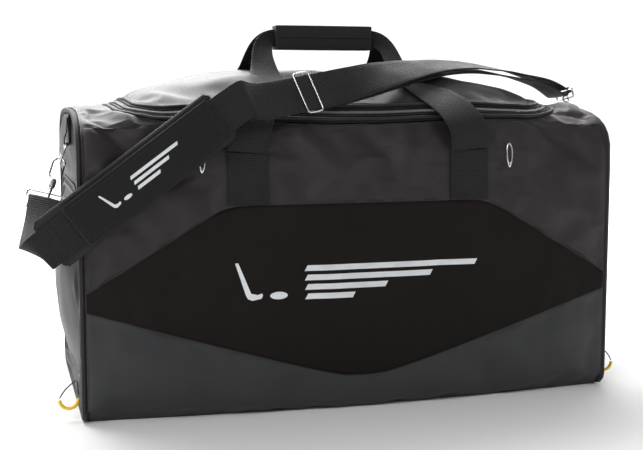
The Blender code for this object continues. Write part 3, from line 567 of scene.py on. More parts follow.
def skin_of(node_name, name, outward, skip_rims):
    """The outer skin of a CAD panel as an open grid."""
    obj = merged_copy(node_name, name)
    work = bmesh.new()
    work.from_mesh(obj.data)
    doomed = []
    for face in work.faces:
        place = face.calc_center_median()
        narrow = skip_rims and min(e.calc_length() for e in face.edges) < RIM_EDGE
        if narrow or outward_at(place, outward).dot(face.normal) < LEAST_FACING:
            doomed.append(face)
    bmesh.ops.delete(work, geom=doomed, context="FACES")
    work.to_mesh(obj.data)
    work.free()
    return obj


def rim_lines(obj):
    """Each rim of an open grid as a list of points with the surface's normal there."""
    work = bmesh.new()
    work.from_mesh(obj.data)
    left = {e: True for e in work.edges if e.is_boundary}
    lines = []
    while left:
        edge = next(iter(left))
        del left[edge]
        first, here = edge.verts
        line = [first]
        while here != first:
            line.append(here)
            following = [e for e in here.link_edges if e in left]
            if not following:
                break
            del left[following[0]]
            here = following[0].other_vert(here)
        lines.append([(v.co.copy(), v.normal.copy()) for v in line])
    work.free()
    return lines


def shape_folds(obj):
    """Press the long folds and a little unevenness into a shell."""
    places = np.array([v.co for v in obj.data.vertices], float)
    normals = np.array([v.normal for v in obj.data.vertices], float)
    rise = np.zeros(len(places))
    for start, end, width, height in FOLDS:
        a, b = np.array(start), np.array(end)
        run = b - a
        share = np.clip(((places - a) @ run) / (run @ run), 0, 1)
        off = np.linalg.norm(places - (a + share[:, None] * run), axis=1)
        taper = np.sin(np.pi * np.clip(share, 0.08, 0.92)) ** 0.7
        rise += FOLD_GAIN * height * taper * np.exp(-(off / width) ** 2)
    for i, place in enumerate(places):
        where = Vector(place)
        rise[i] += 0.0030 * noise.noise(where * 13.0) + 0.0012 * noise.noise(where * 34.0 + Vector((3, 1, 7)))
    return places, normals, rise


def keep_corners(obj):
    """Mark the corners of an open grid, so that subdividing doesn't round them off."""
    work = bmesh.new()
    work.from_mesh(obj.data)
    crease = work.verts.layers.float.new("crease_vert")
    for vert in work.verts:
        rim = [e for e in vert.link_edges if e.is_boundary]
        if len(rim) == 2:
            one, two = (e.other_vert(vert).co - vert.co for e in rim)
            if one.angle(two, math.pi) < math.radians(CORNER_ANGLE):
                vert[crease] = 1.0
    work.to_mesh(obj.data)
    work.free()


def ready_cloth(obj, sewn, slack, pressure):
    """Give a shell its pinned seams and its cloth settings."""
    keep_corners(obj)
    add_subdivision(obj, 2)
    apply_modifiers(obj)
    work = bmesh.new()
    work.from_mesh(obj.data)
    rim = {v.index for e in work.edges if e.is_boundary for v in e.verts}
    near = {o.index for v in work.verts if v.index in rim for e in v.link_edges for o in e.verts} - rim
    work.free()
    held = [v.index for v in obj.data.vertices if any(
        all(low[k] - SEWN_MARGIN < v.co[k] < high[k] + SEWN_MARGIN for k in range(3)) for low, high in sewn)]
    places, normals, rise = shape_folds(obj)
    free = np.ones(len(places))
    free[list(rim) + held] = 0.0
    free[list(near - set(held))] *= RIM_SHARE
    places = places + normals * (rise * free)[:, None]
    obj.data.vertices.foreach_set("co", places.ravel())
    pins = obj.vertex_groups.new(name="sewn")
    pins.add(sorted(rim | set(held)), 1.0, "REPLACE")
    cloth = obj.modifiers.new("Cloth", "CLOTH")
    settings = cloth.settings
    settings.quality = 4
    settings.mass = 0.2
    settings.tension_stiffness = 18
    settings.compression_stiffness = 18
    settings.shear_stiffness = 6
    settings.bending_stiffness = 1.2
    settings.shrink_min = -slack
    settings.use_pressure = True
    settings.uniform_pressure_force = pressure
    settings.vertex_group_mass = "sewn"
    settings.effector_weights.gravity = 0.0
    cloth.collision_settings.use_collision = False
    return places, normals, free


def fill_out(shells, sewn):
    """Run the cloth of every shell together, keep its folds within bounds and give it a thickness."""
    size = sizes()
    states = {obj: ready_cloth(obj, sewn, slack, pressure) for obj, slack, pressure in shells}
    for step in range(1, size.solver_steps + 1):
        bpy.context.scene.frame_set(step)
    for obj, (places, normals, free) in states.items():
        apply_modifiers(obj)
        now = np.array([v.co for v in obj.data.vertices], float)
        move = now - places
        out = (move * normals).sum(axis=1)
        slide = move - out[:, None] * normals
        reach = np.linalg.norm(slide, axis=1)
        slide *= np.minimum(1.0, MOST_SLIDE / np.maximum(reach, 1e-9))[:, None]
        kept = np.where(out > 0, size.fold_out * np.tanh(out / size.fold_out),
                        size.fold_in * np.tanh(out / size.fold_in))
        now = places + slide + normals * (kept * np.where(free > 0, 1, 0))[:, None]
        obj.data.vertices.foreach_set("co", now.ravel())
        obj.data.update()
        obj.vertex_groups.clear()
        add_subdivision(obj, 1)
        add_thickness(obj, size.cloth_thickness)
        apply_modifiers(obj)
        activate(obj)
        bpy.ops.object.shade_smooth()
    bpy.context.scene.frame_set(1)


def tree_of(*pieces):
    """A search tree over some pieces, for laying things on them."""
    verts = []
    faces = []
    for piece in pieces:
        mesh = piece.data
        shift = len(verts)
        verts.extend(v.co.copy() for v in mesh.vertices)
        faces.extend([tuple(shift + k for k in p.vertices) for p in mesh.polygons])
    return BVHTree.FromPolygons(verts, faces)


class BAG_OT_shells(bpy.types.Operator):
    """Walls, shoulders, base, lid, ends and pocket doors as sewn fabric with folds"""
    bl_idname = "bag.shells"
    bl_label = "Fabric Shells"

    def execute(self, context):
        slack = sizes().cloth_slack
        sewn = [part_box(face + "_" + side + "_web_anchor") for face, side in CORNERS]
        sewn += [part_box(form % side) for form in ("front_%s_eyelet", "%s_d_ring_tab") for side, _ in ENDS]
        plan = []
        welts = []
        for face, _ in FACES:
            for part, finish, share, pressure in (("upper_panel", "body_fabric", 1.0, 0.9),
                                                  ("insert_panel", "insert_fabric", 0.35, 0.9),
                                                  ("base_panel", "coated_base", 0.30, 0.5)):
                name = face + "_" + part
                plan.append((name, None, True, finish, share, pressure, "bag_body"))
        for side, sign in ENDS:
            out = Vector((sign, 0, 0))
            plan.append((side + "_shoulder_panel", UP, True, "body_fabric", 1.2, 0.9, "bag_body"))
            plan.append((side + "_end_panel", out, False, "body_fabric", 0.8, 0.4, "bag_body"))
            plan.append((side + "_pocket_door", out, False, "body_fabric", 1.2, 0.6, side + "_door"))
        plan.append(("bottom_panel", -UP, True, "coated_base", 0.0, 0.0, "bag_body"))
        plan.append(("lid_panel", UP, True, "body_fabric", 0.8, 0.8, "lid"))
        shells = []
        for name, outward, skip_rims, _, share, pressure, _ in plan:
            label = name.replace("_panel", "_cloth").replace("_door", "_door_cloth")
            shell = skin_of(name, label, outward, skip_rims)
            welts.append((name, rim_lines(shell)))
            shells.append((shell, slack * share, pressure))
        fill_out(shells, sewn)
        for (shell, _, _), (name, _, _, finish, _, _, body) in zip(shells, plan):
            finish_piece(shell, body, finish, (name,))
        for name, lines in welts:
            if not name.endswith(("upper_panel", "insert_panel", "base_panel", "shoulder_panel")):
                continue
            finish = "coated_base" if name.endswith("base_panel") else "body_fabric"
            for k, line in enumerate(lines):
                sunk = [place - normal * sizes().welt * 0.9 for place, normal in line]
                welt = rope("%s_welt_%d" % (name, k), sunk, sizes().welt, closed=True, sides=2)
                finish_piece(welt, "bag_body", finish)
        return {"FINISHED"}


# ---------------------------------------------------------------- zippers

LID_CORNER = 0.060
DOOR_CORNER = 0.060
SLOT = 0.0015
LEG_SHORT = 0.0005
TAPE_PROBE = 0.006
TAPE_HALF = 0.011
SKY = 0.6
PIPING_OUT = 0.0128
RIDGE_OUT = PIPING_OUT * 0.52
DOOR_PIPING_OUT = 0.0120
ROPE_STEP = 0.006


def arch(half, near, far, corner, spacing=0.005):
    """Plan points of a U whose legs start at far: (across, along) with the outward direction."""
    side = []
    turn = near + corner
    steps = max(2, int((far - turn) / spacing))
    for k in range(steps):
        side.append((half, far + (turn - far) * k / steps, 1.0, 0.0))
    bends = max(4, int(corner * math.pi / 2 / spacing))
    for k in range(bends + 1):
        angle = math.pi / 2 * k / bends
        side.append((half - corner + corner * math.cos(angle), turn - corner * math.sin(angle),
                     math.cos(angle), -math.sin(angle)))
    level = [(x, near, 0.0, -1.0) for x in
             np.linspace(half - corner, corner - half, int(2 * (half - corner) / spacing))[1:-1]]
    other = [(-x, y, -dx, dy) for x, y, dx, dy in reversed(side)]
    return side + level + other


def lid_track(lift):
    """The main zipper's line on the closed bag: place, tangent, outward side and normal."""
    low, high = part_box("lid_zip_tape_lid")
    tree = tree_of(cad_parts["lid_zip_tape_lid"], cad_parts["lid_zip_tape_body"])
    track = []
    for x, y, dx, dy in arch(high.x + SLOT, low.y - SLOT, high.y - LEG_SHORT, LID_CORNER):
        hits = []
        for step in (-TAPE_PROBE, TAPE_PROBE):
            place, normal, _, _ = tree.ray_cast(Vector((x + dx * step, y + dy * step, SKY)), -UP)
            if place is not None:
                hits.append((place, normal))
        up = sum((n for _, n in hits), Vector()).normalized()
        side = Vector((dx, dy, 0))
        side = (side - up * side.dot(up)).normalized()
        middle = sum((p for p, _ in hits), Vector()) / len(hits)
        if len(hits) == 1:
            outer = (hits[0][0].xy - Vector((x, y))).dot((dx, dy)) > 0
            middle = middle - side * (TAPE_PROBE if outer else -TAPE_PROBE)
        track.append((middle + up * lift, side, up))
    return tangents_for(track)


def pocket_track(side_name, sign, lift):
    """A pocket zipper's line on its end: place, tangent, outward side and normal."""
    low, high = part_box(side_name + "_pocket_zip_tape")
    half = high.y - TAPE_HALF
    face = max(abs(low.x), abs(high.x)) + lift
    track = []
    for y, z, dy, dz in arch(half, -(high.z - TAPE_HALF), -low.z, DOOR_CORNER):
        track.append((Vector((sign * face, y, -z)), Vector((0, dy, -dz)), Vector((sign, 0, 0))))
    return tangents_for(track)


def tangents_for(track):
    made = []
    for i, (place, side, up) in enumerate(track):
        before = track[max(i - 1, 0)][0]
        after = track[min(i + 1, len(track) - 1)][0]
        made.append((place, (after - before).normalized(), side, up))
    return made


def chain_stations(track, pitch, offset, phase=0.0):
    """Stations at an even pitch along a track, set off to one side."""
    rows = [(*place, *side, *up) for place, _, side, up in track]
    fine, _ = smooth_run(rows, pitch)
    stations = []
    for i in range(1, len(fine) - 1):
        place, side, up = (Vector(fine[i][k:k + 3]) for k in (0, 3, 6))
        run = (Vector(fine[i + 1][:3]) - Vector(fine[i - 1][:3])).normalized()
        side = up.cross(run).normalized()
        stations.append((place + side * offset + run * pitch * phase, run, side, up))
    return stations


class BAG_OT_zippers(bpy.types.Operator):
    """Tapes, teeth and piping of the main zipper and the two pocket zippers"""
    bl_idname = "bag.zippers"
    bl_label = "Zippers"

    def execute(self, context):
        pitch = sizes().tooth_pitch
        cord = sizes().zip_cord
        for name, body in (("lid_zip_tape_lid", "lid"), ("lid_zip_tape_body", "bag_body")):
            tape = remade(name, name.replace("zip_tape", "tape"), (add_subdivision, 1, True),
                          (add_bevel, 0.0004, 1), angle=30)
            finish_piece(tape, body, "zip_tape", (name,))
        for label, body, inner in (("lid", "lid", 1), ("body", "bag_body", -1)):
            track = lid_track(0.0014)
            self.teeth("main_teeth_" + label, body, track, inner, pitch)
            self.cord("main_piping_" + label, body, track, inner * PIPING_OUT, cord, 4, "piping")
            self.cord("main_tape_ridge_" + label, body, track, inner * RIDGE_OUT, cord * 0.36, 2, "zip_tape")
        for side, sign in ENDS:
            name = side + "_pocket_zip_tape"
            tape = remade(name, side + "_pocket_tape", (add_subdivision, 1, True), angle=30)
            finish_piece(tape, "bag_body", "zip_tape", (name,))
            track = pocket_track(side, sign, 0.0010)
            for label, body, inner in (("door", side + "_door", 1), ("body", "bag_body", -1)):
                self.teeth("%s_pocket_teeth_%s" % (side, label), body, track, inner, pitch * 0.9)
            self.cord(side + "_pocket_piping", "bag_body", track, -DOOR_PIPING_OUT, cord * 0.62, 3, "piping")
        return {"FINISHED"}

    def teeth(self, name, body, track, inner, pitch):
        """One half of a chain, its teeth set between the other half's."""
        aside = self.inward(track) * inner * pitch * 0.36
        stations = chain_stations(track, pitch, aside, 0.5 if inner > 0 else 0.0)
        template = rounded_block((pitch * 0.52, pitch * 1.35, pitch * 0.72), pitch * 0.16)
        finish_piece(copies_along(name, template, stations), body, "teeth")

    def cord(self, name, body, track, aside, radius, sides, finish):
        """A round cord along a zipper, so far to its inner side."""
        line = [place for place, _, _, _ in chain_stations(track, ROPE_STEP, self.inward(track) * aside)]
        finish_piece(rope(name, line, radius, sides=sides), body, finish)

    @staticmethod
    def inward(track):
        """+1 where a station's side direction points to the panel inside the track."""
        _, run, side, up = track[len(track) // 2]
        return -1.0 if up.cross(run).dot(side) > 0 else 1.0


# ---------------------------------------------------------------- webbing

def web_rows(node_name):
    """Middle and half-width of a webbing strip, ring by ring from one end to the other."""
    work = bmesh.new()
    work.from_mesh(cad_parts[node_name].data)
    bmesh.ops.remove_doubles(work, verts=work.verts, dist=MERGE)
    work.normal_update()
    work.verts.index_update()
    cap = None
    for edge in work.edges:
        if len(edge.link_faces) != 2:
            continue
        a, b = edge.link_faces
        if a.normal.angle(b.normal, 3.0) > 0.02:
            continue
        around = [e for f in (a, b) for e in f.edges if e is not edge]
        if all(len(e.link_faces) == 2 and e.calc_face_angle() > 1.0 for e in around):
            cap = set(a.verts) | set(b.verts)
            break
    if cap is None:
        raise RuntimeError("no end found on " + node_name)
    rings = []
    ring = cap
    seen = set()
    while ring:
        seen |= ring
        rings.append([v.co.copy() for v in sorted(ring, key=lambda v: v.index)])
        ring = {e.other_vert(v) for v in ring for e in v.link_edges} - seen
    work.free()
    rows = []
    last = None
    for points in rings:
        if len(points) != 4:
            continue
        first = points[0]
        partner = min(points[1:], key=lambda p: (p - first).length)
        others = [p for p in points[1:] if p is not partner]
        one = (first + partner) / 2
        two = (others[0] + others[1]) / 2
        half = (two - one) / 2
        if last is not None and half.dot(last) < 0:
            half = -half
        last = half
        rows.append((*((one + two) / 2), *half))
    return rows


def relaxed(rows, rounds, kept=1):
    """The rows with their kinks eased, so many rows at both ends kept as they are."""
    rows = rows.copy()
    for _ in range(rounds):
        eased_rows = rows[:-2] * 0.25 + rows[1:-1] * 0.5 + rows[2:] * 0.25
        rows[kept:-kept] = eased_rows[kept - 1:len(rows) - kept - 1]
    return rows


def lay_web(name, rows, thickness=0.0021, across=8, spacing=0.0035, flutter=0.0005, seed=0.0, soften=8,
            kept=1):
    """A woven strap through the rows: a grid laid along them, a little cupped, and given a thickness."""
    fine, run = smooth_run(rows, spacing)
    fine = relaxed(fine, soften, kept)
    count = len(fine)
    deselect()
    bpy.ops.mesh.primitive_grid_add(x_subdivisions=count - 1, y_subdivisions=across, size=1.0,
                                    calc_uvs=True)
    obj = bpy.context.object
    obj.name = name
    obj.data.name = name
    grid = np.array([v.co for v in obj.data.vertices], float)
    station = np.rint((grid[:, 0] + 0.5) * (count - 1)).astype(int)
    share = grid[:, 1] * 2.0
    middle = fine[station, :3]
    half = fine[station, 3:6]
    tangent = np.gradient(fine[:, :3], axis=0)[station]
    normal = np.cross(tangent, half)
    normal /= np.maximum(np.linalg.norm(normal, axis=1), 1e-9)[:, None]
    wave = np.array([noise.noise(Vector((run[s] * 22.0, u * 1.3, seed))) for s, u in zip(station, share)])
    places = middle + half * share[:, None] + normal * (flutter * (wave + 0.6 * share ** 2 - 0.2))[:, None]
    obj.data.vertices.foreach_set("co", places.ravel())
    width = 2 * np.linalg.norm(half, axis=1)
    uv = obj.data.uv_layers[0]
    uv.name = "strip"
    along = run[station]
    for loop in obj.data.loops:
        k = loop.vertex_index
        uv.data[loop.index].uv = (along[k], (share[k] + 1) / 2 * width[k])
    obj.data.update()
    add_thickness(obj, thickness, 0.0)
    add_bevel(obj, thickness * 0.3, 1, 50)
    apply_modifiers(obj)
    smooth(obj, 50)
    return obj


def lengthened(rows, extra):
    """The rows with both ends drawn out a little, to meet the sewn piece they come from."""
    rows = [np.array(row, float) for row in rows]
    for end, before in ((0, 1), (-1, -2)):
        run = rows[end][:3] - rows[before][:3]
        rows[end][:3] += run / np.linalg.norm(run) * extra
    return rows


def strip_map(obj, run, side):
    """A UV map in metres along two axes, for a flat sewn piece of webbing."""
    uv = obj.data.uv_layers.get("strip") or obj.data.uv_layers.new(name="strip")
    for loop in obj.data.loops:
        place = obj.data.vertices[loop.vertex_index].co
        uv.data[loop.index].uv = (place.dot(Vector(run)), place.dot(Vector(side)))


STITCH_LIFT = 0.0003
WIDEST_SEARCH = 0.05


def stitch_row(start, end, tree, toward):
    """Stations of one straight row of stitches, dropped on a surface along a direction."""
    pitch = sizes().stitch
    start, end, toward = Vector(start), Vector(end), Vector(toward)
    count = max(1, int((end - start).length / pitch))
    stations = []
    for k in range(count):
        guess = start.lerp(end, (k + 0.5) / count)
        place, normal, _, _ = tree.ray_cast(guess - toward * WIDEST_SEARCH, toward)
        if place is None:
            continue
        if normal.dot(toward) > 0:
            normal = -normal
        run = (end - start).normalized()
        run = (run - normal * run.dot(normal)).normalized()
        stations.append((place + normal * STITCH_LIFT, run, normal.cross(run), normal))
    return stations


def stitch_template():
    pitch = sizes().stitch
    return rounded_block((pitch * 0.74, 0.00075, 0.0006), 0.00018)


def box_corners(low_x, high_x, low_z, high_z, y):
    corners = [(low_x, y, low_z), (high_x, y, low_z), (high_x, y, high_z), (low_x, y, high_z)]
    return list(zip(corners, corners[1:] + corners[:1]))


class BAG_OT_handles(bpy.types.Operator):
    """Webbing handles with their sewn anchors and the padded grip"""
    bl_idname = "bag.handles"
    bl_label = "Handles"

    def execute(self, context):
        for k, (face, _) in enumerate(FACES):
            name = face + "_handle_web"
            web = lay_web(face + "_handle", lengthened(web_rows(name), 0.0040), flutter=0.0008, seed=4.0 + k)
            finish_piece(web, face + "_handle", "webbing", (name,))
        stations = []
        for face, side in CORNERS:
            name = face + "_" + side + "_web_anchor"
            anchor = remade(name, face + "_" + side + "_anchor", (add_subdivision, 2, True),
                            (add_bevel, 0.0006, 1, 50))
            strip_map(anchor, (0, 0, 1), (1, 0, 0))
            finish_piece(anchor, "bag_body", "webbing", (name,))
            low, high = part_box(name)
            toward = (0, 1, 0) if face == "front" else (0, -1, 0)
            y = low.y if face == "front" else high.y
            tree = tree_of(anchor)
            inset = 0.005
            lines = box_corners(low.x + inset, high.x - inset, low.z + inset, low.z + 0.036, y)
            for a, b in lines:
                stations += stitch_row(a, b, tree, toward)
        thread = copies_along("anchor_stitches", stitch_template(), stations)
        finish_piece(thread, "bag_body", "thread")
        for name, label, body in (("grip_sleeve", "grip_wrap", "rear_handle"),
                                  ("grip_flap", "grip_cover", "grip_flap")):
            grip = remade(name, label, (add_bevel, 0.0022, 3, 40), (add_subdivision, 1), angle=60)
            finish_piece(grip, body, "padding", (name,))
        low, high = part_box("grip_flap")
        for k, y in enumerate((low.y, high.y)):
            seam = [(x, y, (low.z + high.z) / 2) for x in np.linspace(low.x + 0.003, high.x - 0.003, 24)]
            seam = rope("grip_seam_%d" % k, seam, 0.0010, sides=2)
            finish_piece(seam, "grip_flap", "padding")
        return {"FINISHED"}


# ---------------------------------------------------------------- shoulder strap and pad

PAD_START = Vector((-0.4245, -0.2220, 0.2434))
PAD_RUN = Vector((0.805, 0.0, 0.593)).normalized()
PAD_SIDE = Vector((-PAD_RUN.z, 0.0, PAD_RUN.x))
OUTWARD = Vector((0.0, -1.0, 0.0))


class BAG_OT_strap(bpy.types.Operator):
    """Shoulder strap, its return length and the shaped pad with a bound edge"""
    bl_idname = "bag.strap"
    bl_label = "Shoulder Strap"

    def execute(self, context):
        for k, (name, label) in enumerate((("strap_web", "strap"), ("strap_web_return", "strap_under"))):
            web = lay_web(label, web_rows(name), flutter=0.0011, seed=9.0 + k, soften=20, kept=8)
            finish_piece(web, "strap", "webbing", (name,))
        base = remade("pad_base", "pad_back", (add_subdivision, 1, True), (add_bevel, 0.0030, 3, 40),
                      angle=50)
        finish_piece(base, "strap_pad", "padding", ("pad_base",))
        bound = rope("pad_binding", self.outline("pad_base"), 0.0036, closed=True, sides=4)
        strip_map(bound, PAD_RUN, PAD_SIDE)
        finish_piece(bound, "strap_pad", "webbing")
        cover = remade("pad_overlay", "pad_front", (add_bevel, 0.0016, 3, 40), (add_subdivision, 1), angle=50)
        finish_piece(cover, "strap_pad", "pad_cover", ("pad_overlay",))
        seam = rope("pad_seam", self.outline("pad_overlay"), 0.0013, closed=True, sides=3)
        finish_piece(seam, "strap_pad", "padding")
        self.stitching(cover)
        return {"FINISHED"}

    @staticmethod
    def outline(node_name):
        """The middle line around a flat pad: its rim points sorted about the pad's centre."""
        points = [v.co.copy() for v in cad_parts[node_name].data.vertices]
        low = min(p.y for p in points)
        high = max(p.y for p in points)
        flat = {}
        for p in points:
            flat.setdefault((round(p.x, 4), round(p.z, 4)), p)
        spots = [(Vector(p).dot(PAD_RUN), Vector(p).dot(PAD_SIDE), p) for p in flat.values()]
        mid_u = sum(s[0] for s in spots) / len(spots)
        mid_v = sum(s[1] for s in spots) / len(spots)
        kept = {}
        for u, v, p in spots:
            key = round(math.atan2((v - mid_v) * 3.0, u - mid_u) * 18 / math.pi)
            reach = math.hypot((v - mid_v) * 3.0, u - mid_u)
            if key not in kept or reach > kept[key][0]:
                kept[key] = (reach, p)
        return [Vector((kept[k][1].x, (low + high) / 2, kept[k][1].z)) for k in sorted(kept)]

    def stitching(self, cover):
        tree = tree_of(cover, *(bpy.data.objects[name] for name in ("strap", "pad_back")))
        stations = []
        for along, half in ((0.047, 0.021), (0.2685, 0.021), (0.0145, 0.021), (0.036, 0.021)):
            start = PAD_START + PAD_RUN * along - PAD_SIDE * half
            stations += stitch_row(start, start + PAD_SIDE * 2 * half, tree, -OUTWARD)
        for side in (-0.0245, 0.0245):
            start = PAD_START + PAD_RUN * 0.052 + PAD_SIDE * side
            stations += stitch_row(start, start + PAD_RUN * 0.212, tree, -OUTWARD)
        thread = copies_along("pad_stitches", stitch_template(), stations)
        finish_piece(thread, "strap_pad", "thread")


# ---------------------------------------------------------------- metal and pulls

def rounded_wire(node_name, name, levels=2):
    """A CAD wire fitting with its facets rounded off."""
    return remade(node_name, name, (add_subdivision, levels), angle=180)


def eased(node_name, name, width, segments=2):
    """A CAD fitting with its edges eased."""
    return remade(node_name, name, (add_bevel, width, segments, 25))


def cast(node_name, name, grain=0.00045, rounds=8):
    """A CAD fitting remade as one soft-edged casting."""
    obj = merged_copy(node_name, name, quads=False)
    remesh = obj.modifiers.new("Remesh", "REMESH")
    remesh.mode = "VOXEL"
    remesh.voxel_size = grain
    soften = obj.modifiers.new("Soften", "SMOOTH")
    soften.factor = 0.6
    soften.iterations = rounds
    apply_modifiers(obj)
    smooth(obj, 180)
    return obj


class BAG_OT_hardware(bpy.types.Operator):
    """Rings, adjuster, snap hooks and eyelets"""
    bl_idname = "bag.hardware"
    bl_label = "Metal Hardware"

    def execute(self, context):
        for side, _ in ENDS:
            eyelet = "front_%s_eyelet" % side
            ring, dee = side + "_strap_ring", side + "_d_ring"
            hook, gate = side + "_snap_hook", side + "_snap_gate"
            made = ((ring, rounded_wire(ring, side + "_ring"), "strap", "nickel"),
                    (dee, rounded_wire(dee, side + "_dee_wire"), side + "_dee", "nickel"),
                    (hook, cast(hook, side + "_hook_casting"), side + "_hook", "nickel"),
                    (gate, cast(gate, side + "_gate_lever", rounds=4), side + "_gate", "dark_metal"),
                    (eyelet, rounded_wire(eyelet, side + "_eyelet_rim", 1), "bag_body", "nickel"))
            for name, piece, body, finish in made:
                finish_piece(piece, body, finish, (name,))
        for name, label, levels in (("adjuster_frame", "adjuster_wire", 2),
                                    ("adjuster_bar", "adjuster_pin", 1)):
            finish_piece(rounded_wire(name, label, levels), "adjuster", "nickel", (name,))
        return {"FINISHED"}


class BAG_OT_pulls(bpy.types.Operator):
    """Zipper sliders, their pulls, and the corded yellow grips on the ends"""
    bl_idname = "bag.pulls"
    bl_label = "Sliders and Pulls"

    def execute(self, context):
        for side, _ in ENDS:
            slider, pull = "lid_%s_slider" % side, "lid_%s_pull" % side
            small, cord, grip = side + "_pocket_slider", side + "_pull_cord", side + "_pull_grip"
            made = ((slider, eased(slider, "main_%s_slider" % side, 0.0008), "lid_%s_runner", "nickel"),
                    (pull, eased(pull, "main_%s_tab" % side, 0.0006), "lid_%s_tab", "nickel"),
                    (small, eased(small, side + "_slider_small", 0.0008), "%s_door_runner", "nickel"),
                    (cord, rounded_wire(cord, side + "_cord", 1), "%s_door_pull", "pull_cord"),
                    (grip, eased(grip, side + "_yellow_grip", 0.0012, 3), "%s_door_pull", "pull_yellow"))
            for name, piece, body, finish in made:
                finish_piece(piece, body % side, finish, (name,))
        return {"FINISHED"}


# ---------------------------------------------------------------- tabs, lining and inside

class BAG_OT_inside(bpy.types.Operator):
    """D-ring tabs, inner lining, pocket liners and the stiffening board"""
    bl_idname = "bag.inside"
    bl_label = "Tabs and Lining"

    def execute(self, context):
        for side, _ in ENDS:
            name = side + "_d_ring_tab"
            tab = remade(name, side + "_tab", (add_subdivision, 2, True), (add_bevel, 0.0005, 1, 50),
                         angle=50)
            strip_map(tab, (0, 0, 1), (0, 1, 0))
            finish_piece(tab, "bag_body", "webbing", (name,))
        for name, obj in sorted(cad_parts.items()):
            if obj.hide_render:
                continue
            inner = remade(name, name + "_inner")
            finish_piece(inner, "bag_body", "lining", (name,))
        return {"FINISHED"}


# ---------------------------------------------------------------- prints

STICK = [(-0.50, 0.86), (-0.36, 0.86), (0.16, -0.44), (0.44, -0.50), (0.62, -0.44), (0.66, -0.54),
         (0.60, -0.66), (0.20, -0.74), (0.02, -0.66), (-0.06, -0.52)]
MARK_LIFT = 0.0004


def ellipse(centre, radii, count=24):
    return [(centre[0] + radii[0] * math.cos(2 * math.pi * k / count),
             centre[1] + radii[1] * math.sin(2 * math.pi * k / count)) for k in range(count)]


def bar_shape(x, y, width, height, lean):
    return [(x, y), (x + width, y), (x + width + lean, y + height), (x + lean, y + height)]


def lay_print(name, shapes, origin, along, up, scale, toward, tree):
    """Flat shapes cut fine and laid on a surface, a hair above it."""
    work = bmesh.new()
    for outline in shapes:
        work.faces.new([work.verts.new(origin + along * (x * scale) + up * (y * scale)) for x, y in outline])
    bmesh.ops.triangulate(work, faces=work.faces[:])
    for _ in range(5):
        long_edges = [e for e in work.edges if e.calc_length() > 0.004]
        if not long_edges:
            break
        bmesh.ops.subdivide_edges(work, edges=long_edges, cuts=1)
        bmesh.ops.triangulate(work, faces=work.faces[:])
    for vert in work.verts:
        place, _, _, _ = tree.ray_cast(vert.co - toward * 0.06, toward)
        if place is None:
            raise RuntimeError(name + " misses its surface")
        vert.co = place - toward * MARK_LIFT
    bmesh.ops.recalc_face_normals(work, faces=work.faces[:])
    for face in work.faces:
        face.normal_update()
    if sum(f.normal.dot(toward) for f in work.faces) > 0:
        bmesh.ops.reverse_faces(work, faces=work.faces[:])
    mesh = bpy.data.meshes.new(name)
    work.to_mesh(mesh)
    work.free()
    return placed(name, mesh)


def emblem(stick_at):
    """A stick and a puck, so far along the line of the mark."""
    shapes = [[(x + stick_at, y) for x, y in STICK]]
    shapes.append(ellipse((stick_at + 1.35, -0.56), (0.38, 0.16)))
    return shapes


class BAG_OT_prints(bpy.types.Operator):
    """Silver stick-and-puck marks on the front, the pad and the left pocket"""
    bl_idname = "bag.prints"
    bl_label = "Printed Marks"

    def execute(self, context):
        inward = -OUTWARD
        front = emblem(-4.7)
        for k, width in enumerate((2.6, 1.9, 1.2, 0.7)):
            front.append(bar_shape(-2.2, 0.42 - 0.40 * k, width * 3.0, 0.24, 0.14))
        tree = tree_of(bpy.data.objects["front_insert_cloth"])
        middle = Vector((-0.016, -0.215, 0.184))
        mark = lay_print("front_mark", front, middle, Vector((1, 0, 0)), UP, 0.032, inward, tree)
        finish_piece(mark, "bag_body", "silver_print")
        tree = tree_of(bpy.data.objects["pad_front"])
        centre = PAD_START + PAD_RUN * 0.152
        pad = emblem(-3.4)
        for k, width in enumerate((4.6, 3.4, 2.2)):
            pad.append(bar_shape(-1.1, 0.34 - 0.48 * k, width, 0.26, 0.14))
        mark = lay_print("pad_mark", pad, centre, PAD_RUN, PAD_SIDE, 0.0165, inward, tree)
        finish_piece(mark, "strap_pad", "silver_print")
        tree = tree_of(bpy.data.objects["left_pocket_door_cloth"])
        small = emblem(-0.8)
        mark = lay_print("pocket_mark", small, Vector((-0.39, 0.0, 0.215)), OUTWARD, UP, 0.020,
                         Vector((1, 0, 0)), tree)
        finish_piece(mark, "left_door", "silver_print")
        return {"FINISHED"}


# ---------------------------------------------------------------- stage

def soft_light(name, place, target, size, power):
    data = bpy.data.lights.new(name, "AREA")
    data.shape = "RECTANGLE"
    data.size, data.size_y = size
    data.energy = power
    light = placed(name, data)
    light.location = place
    light.rotation_euler = (Vector(target) - Vector(place)).to_track_quat("-Z", "Y").to_euler()


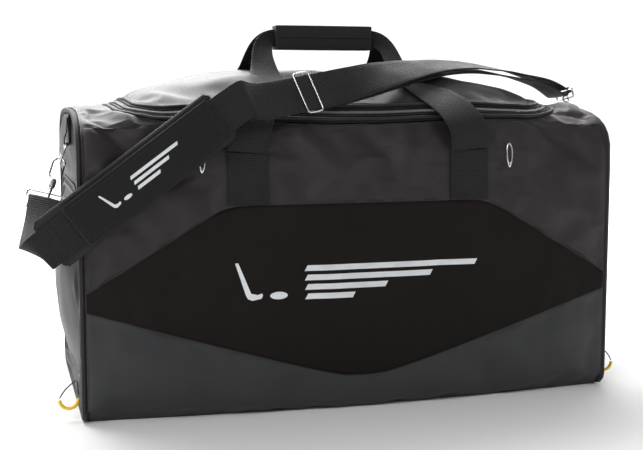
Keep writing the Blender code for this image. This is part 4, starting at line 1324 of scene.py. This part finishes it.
class BAG_OT_stage(bpy.types.Operator):
    """Pale floor, soft lights, world and the camera"""
    bl_idname = "bag.stage"
    bl_label = "Studio"

    def execute(self, context):
        scene = context.scene
        look = scene.bag_stage
        scene.view_settings.view_transform = "Standard"
        deselect()
        bpy.ops.mesh.primitive_plane_add(size=10.0, location=(0, 1.2, -0.0005))
        floor = context.object
        floor.name = "floor"
        paper = hard_finish("floor_paper", look.floor, 0.0, (0.88, 0.92), 0.995, 1.0, 4.0, 0.0)
        floor.data.materials.append(paper)
        world = bpy.data.worlds.new("pale_room")
        world.use_nodes = True
        back = world.node_tree.nodes["Background"]
        room = world.node_tree
        turn = node(room, "ShaderNodeTexCoord").outputs["Generated"]
        depth = node(room, "ShaderNodeSeparateXYZ", {0: turn}).outputs[1]
        span = node(room, "ShaderNodeMapRange", {0: depth, 1: -0.1, 2: 0.6, 3: look.front_wall,
                                                 4: look.back_wall})
        back.inputs["Color"].default_value = (1, 1, 1, 1)
        room.links.new(span.outputs[0], back.inputs["Strength"])
        scene.world = world
        soft_light("key", (-1.6, -1.9, 2.1), (0, 0, 0.2), (1.6, 1.2), look.key)
        soft_light("fill", (2.2, -1.6, 1.2), (0, 0, 0.25), (1.6, 1.6), look.fill)
        soft_light("top", (-0.5, 1.2, 2.0), (-0.1, 0, 0.35), (2.4, 1.0), look.top)
        soft_light("back", (0.8, 4.6, 2.6), (0.8, 4.4, 0), (7.0, 4.0), look.back)
        data = bpy.data.cameras.new("view")
        data.lens = look.lens
        camera = placed("view", data)
        camera.location = (-0.487, -1.72, 0.442)
        camera.rotation_euler = Euler((math.radians(90 - 6.65), 0, math.radians(-15.78)))
        scene.camera = camera
        return {"FINISHED"}


# ---------------------------------------------------------------- add-on

STEPS = (BAG_OT_shells, BAG_OT_zippers, BAG_OT_handles, BAG_OT_strap, BAG_OT_hardware, BAG_OT_pulls,
         BAG_OT_inside, BAG_OT_prints, BAG_OT_stage)


class BAG_PT_panel(bpy.types.Panel):
    """Lists the bag's build steps and their settings"""
    bl_idname = "BAG_PT_panel"
    bl_label = "Equipment Bag"
    bl_space_type = "VIEW_3D"
    bl_region_type = "UI"
    bl_category = "Bag"

    def draw(self, context):
        column = self.layout.column(align=True)
        for step in STEPS:
            column.operator(step.bl_idname)
        column.separator()
        for group_name in ("bag_sizes", "bag_colours", "bag_stage"):
            settings = getattr(context.scene, group_name)
            for key in settings.__annotations__:
                column.prop(settings, key)


CLASSES = (BagSizes, BagColours, StageSettings) + STEPS + (BAG_PT_panel,)


def register():
    for cls in CLASSES:
        bpy.utils.register_class(cls)
    bpy.types.Scene.bag_sizes = bpy.props.PointerProperty(type=BagSizes)
    bpy.types.Scene.bag_colours = bpy.props.PointerProperty(type=BagColours)
    bpy.types.Scene.bag_stage = bpy.props.PointerProperty(type=StageSettings)


def unregister():
    del bpy.types.Scene.bag_stage
    del bpy.types.Scene.bag_colours
    del bpy.types.Scene.bag_sizes
    for cls in reversed(CLASSES):
        bpy.utils.unregister_class(cls)


def main():
    register()
    for step in STEPS:
        family, action = step.bl_idname.split(".")
        getattr(getattr(bpy.ops, family), action)()


if __name__ == "__main__":
    main()
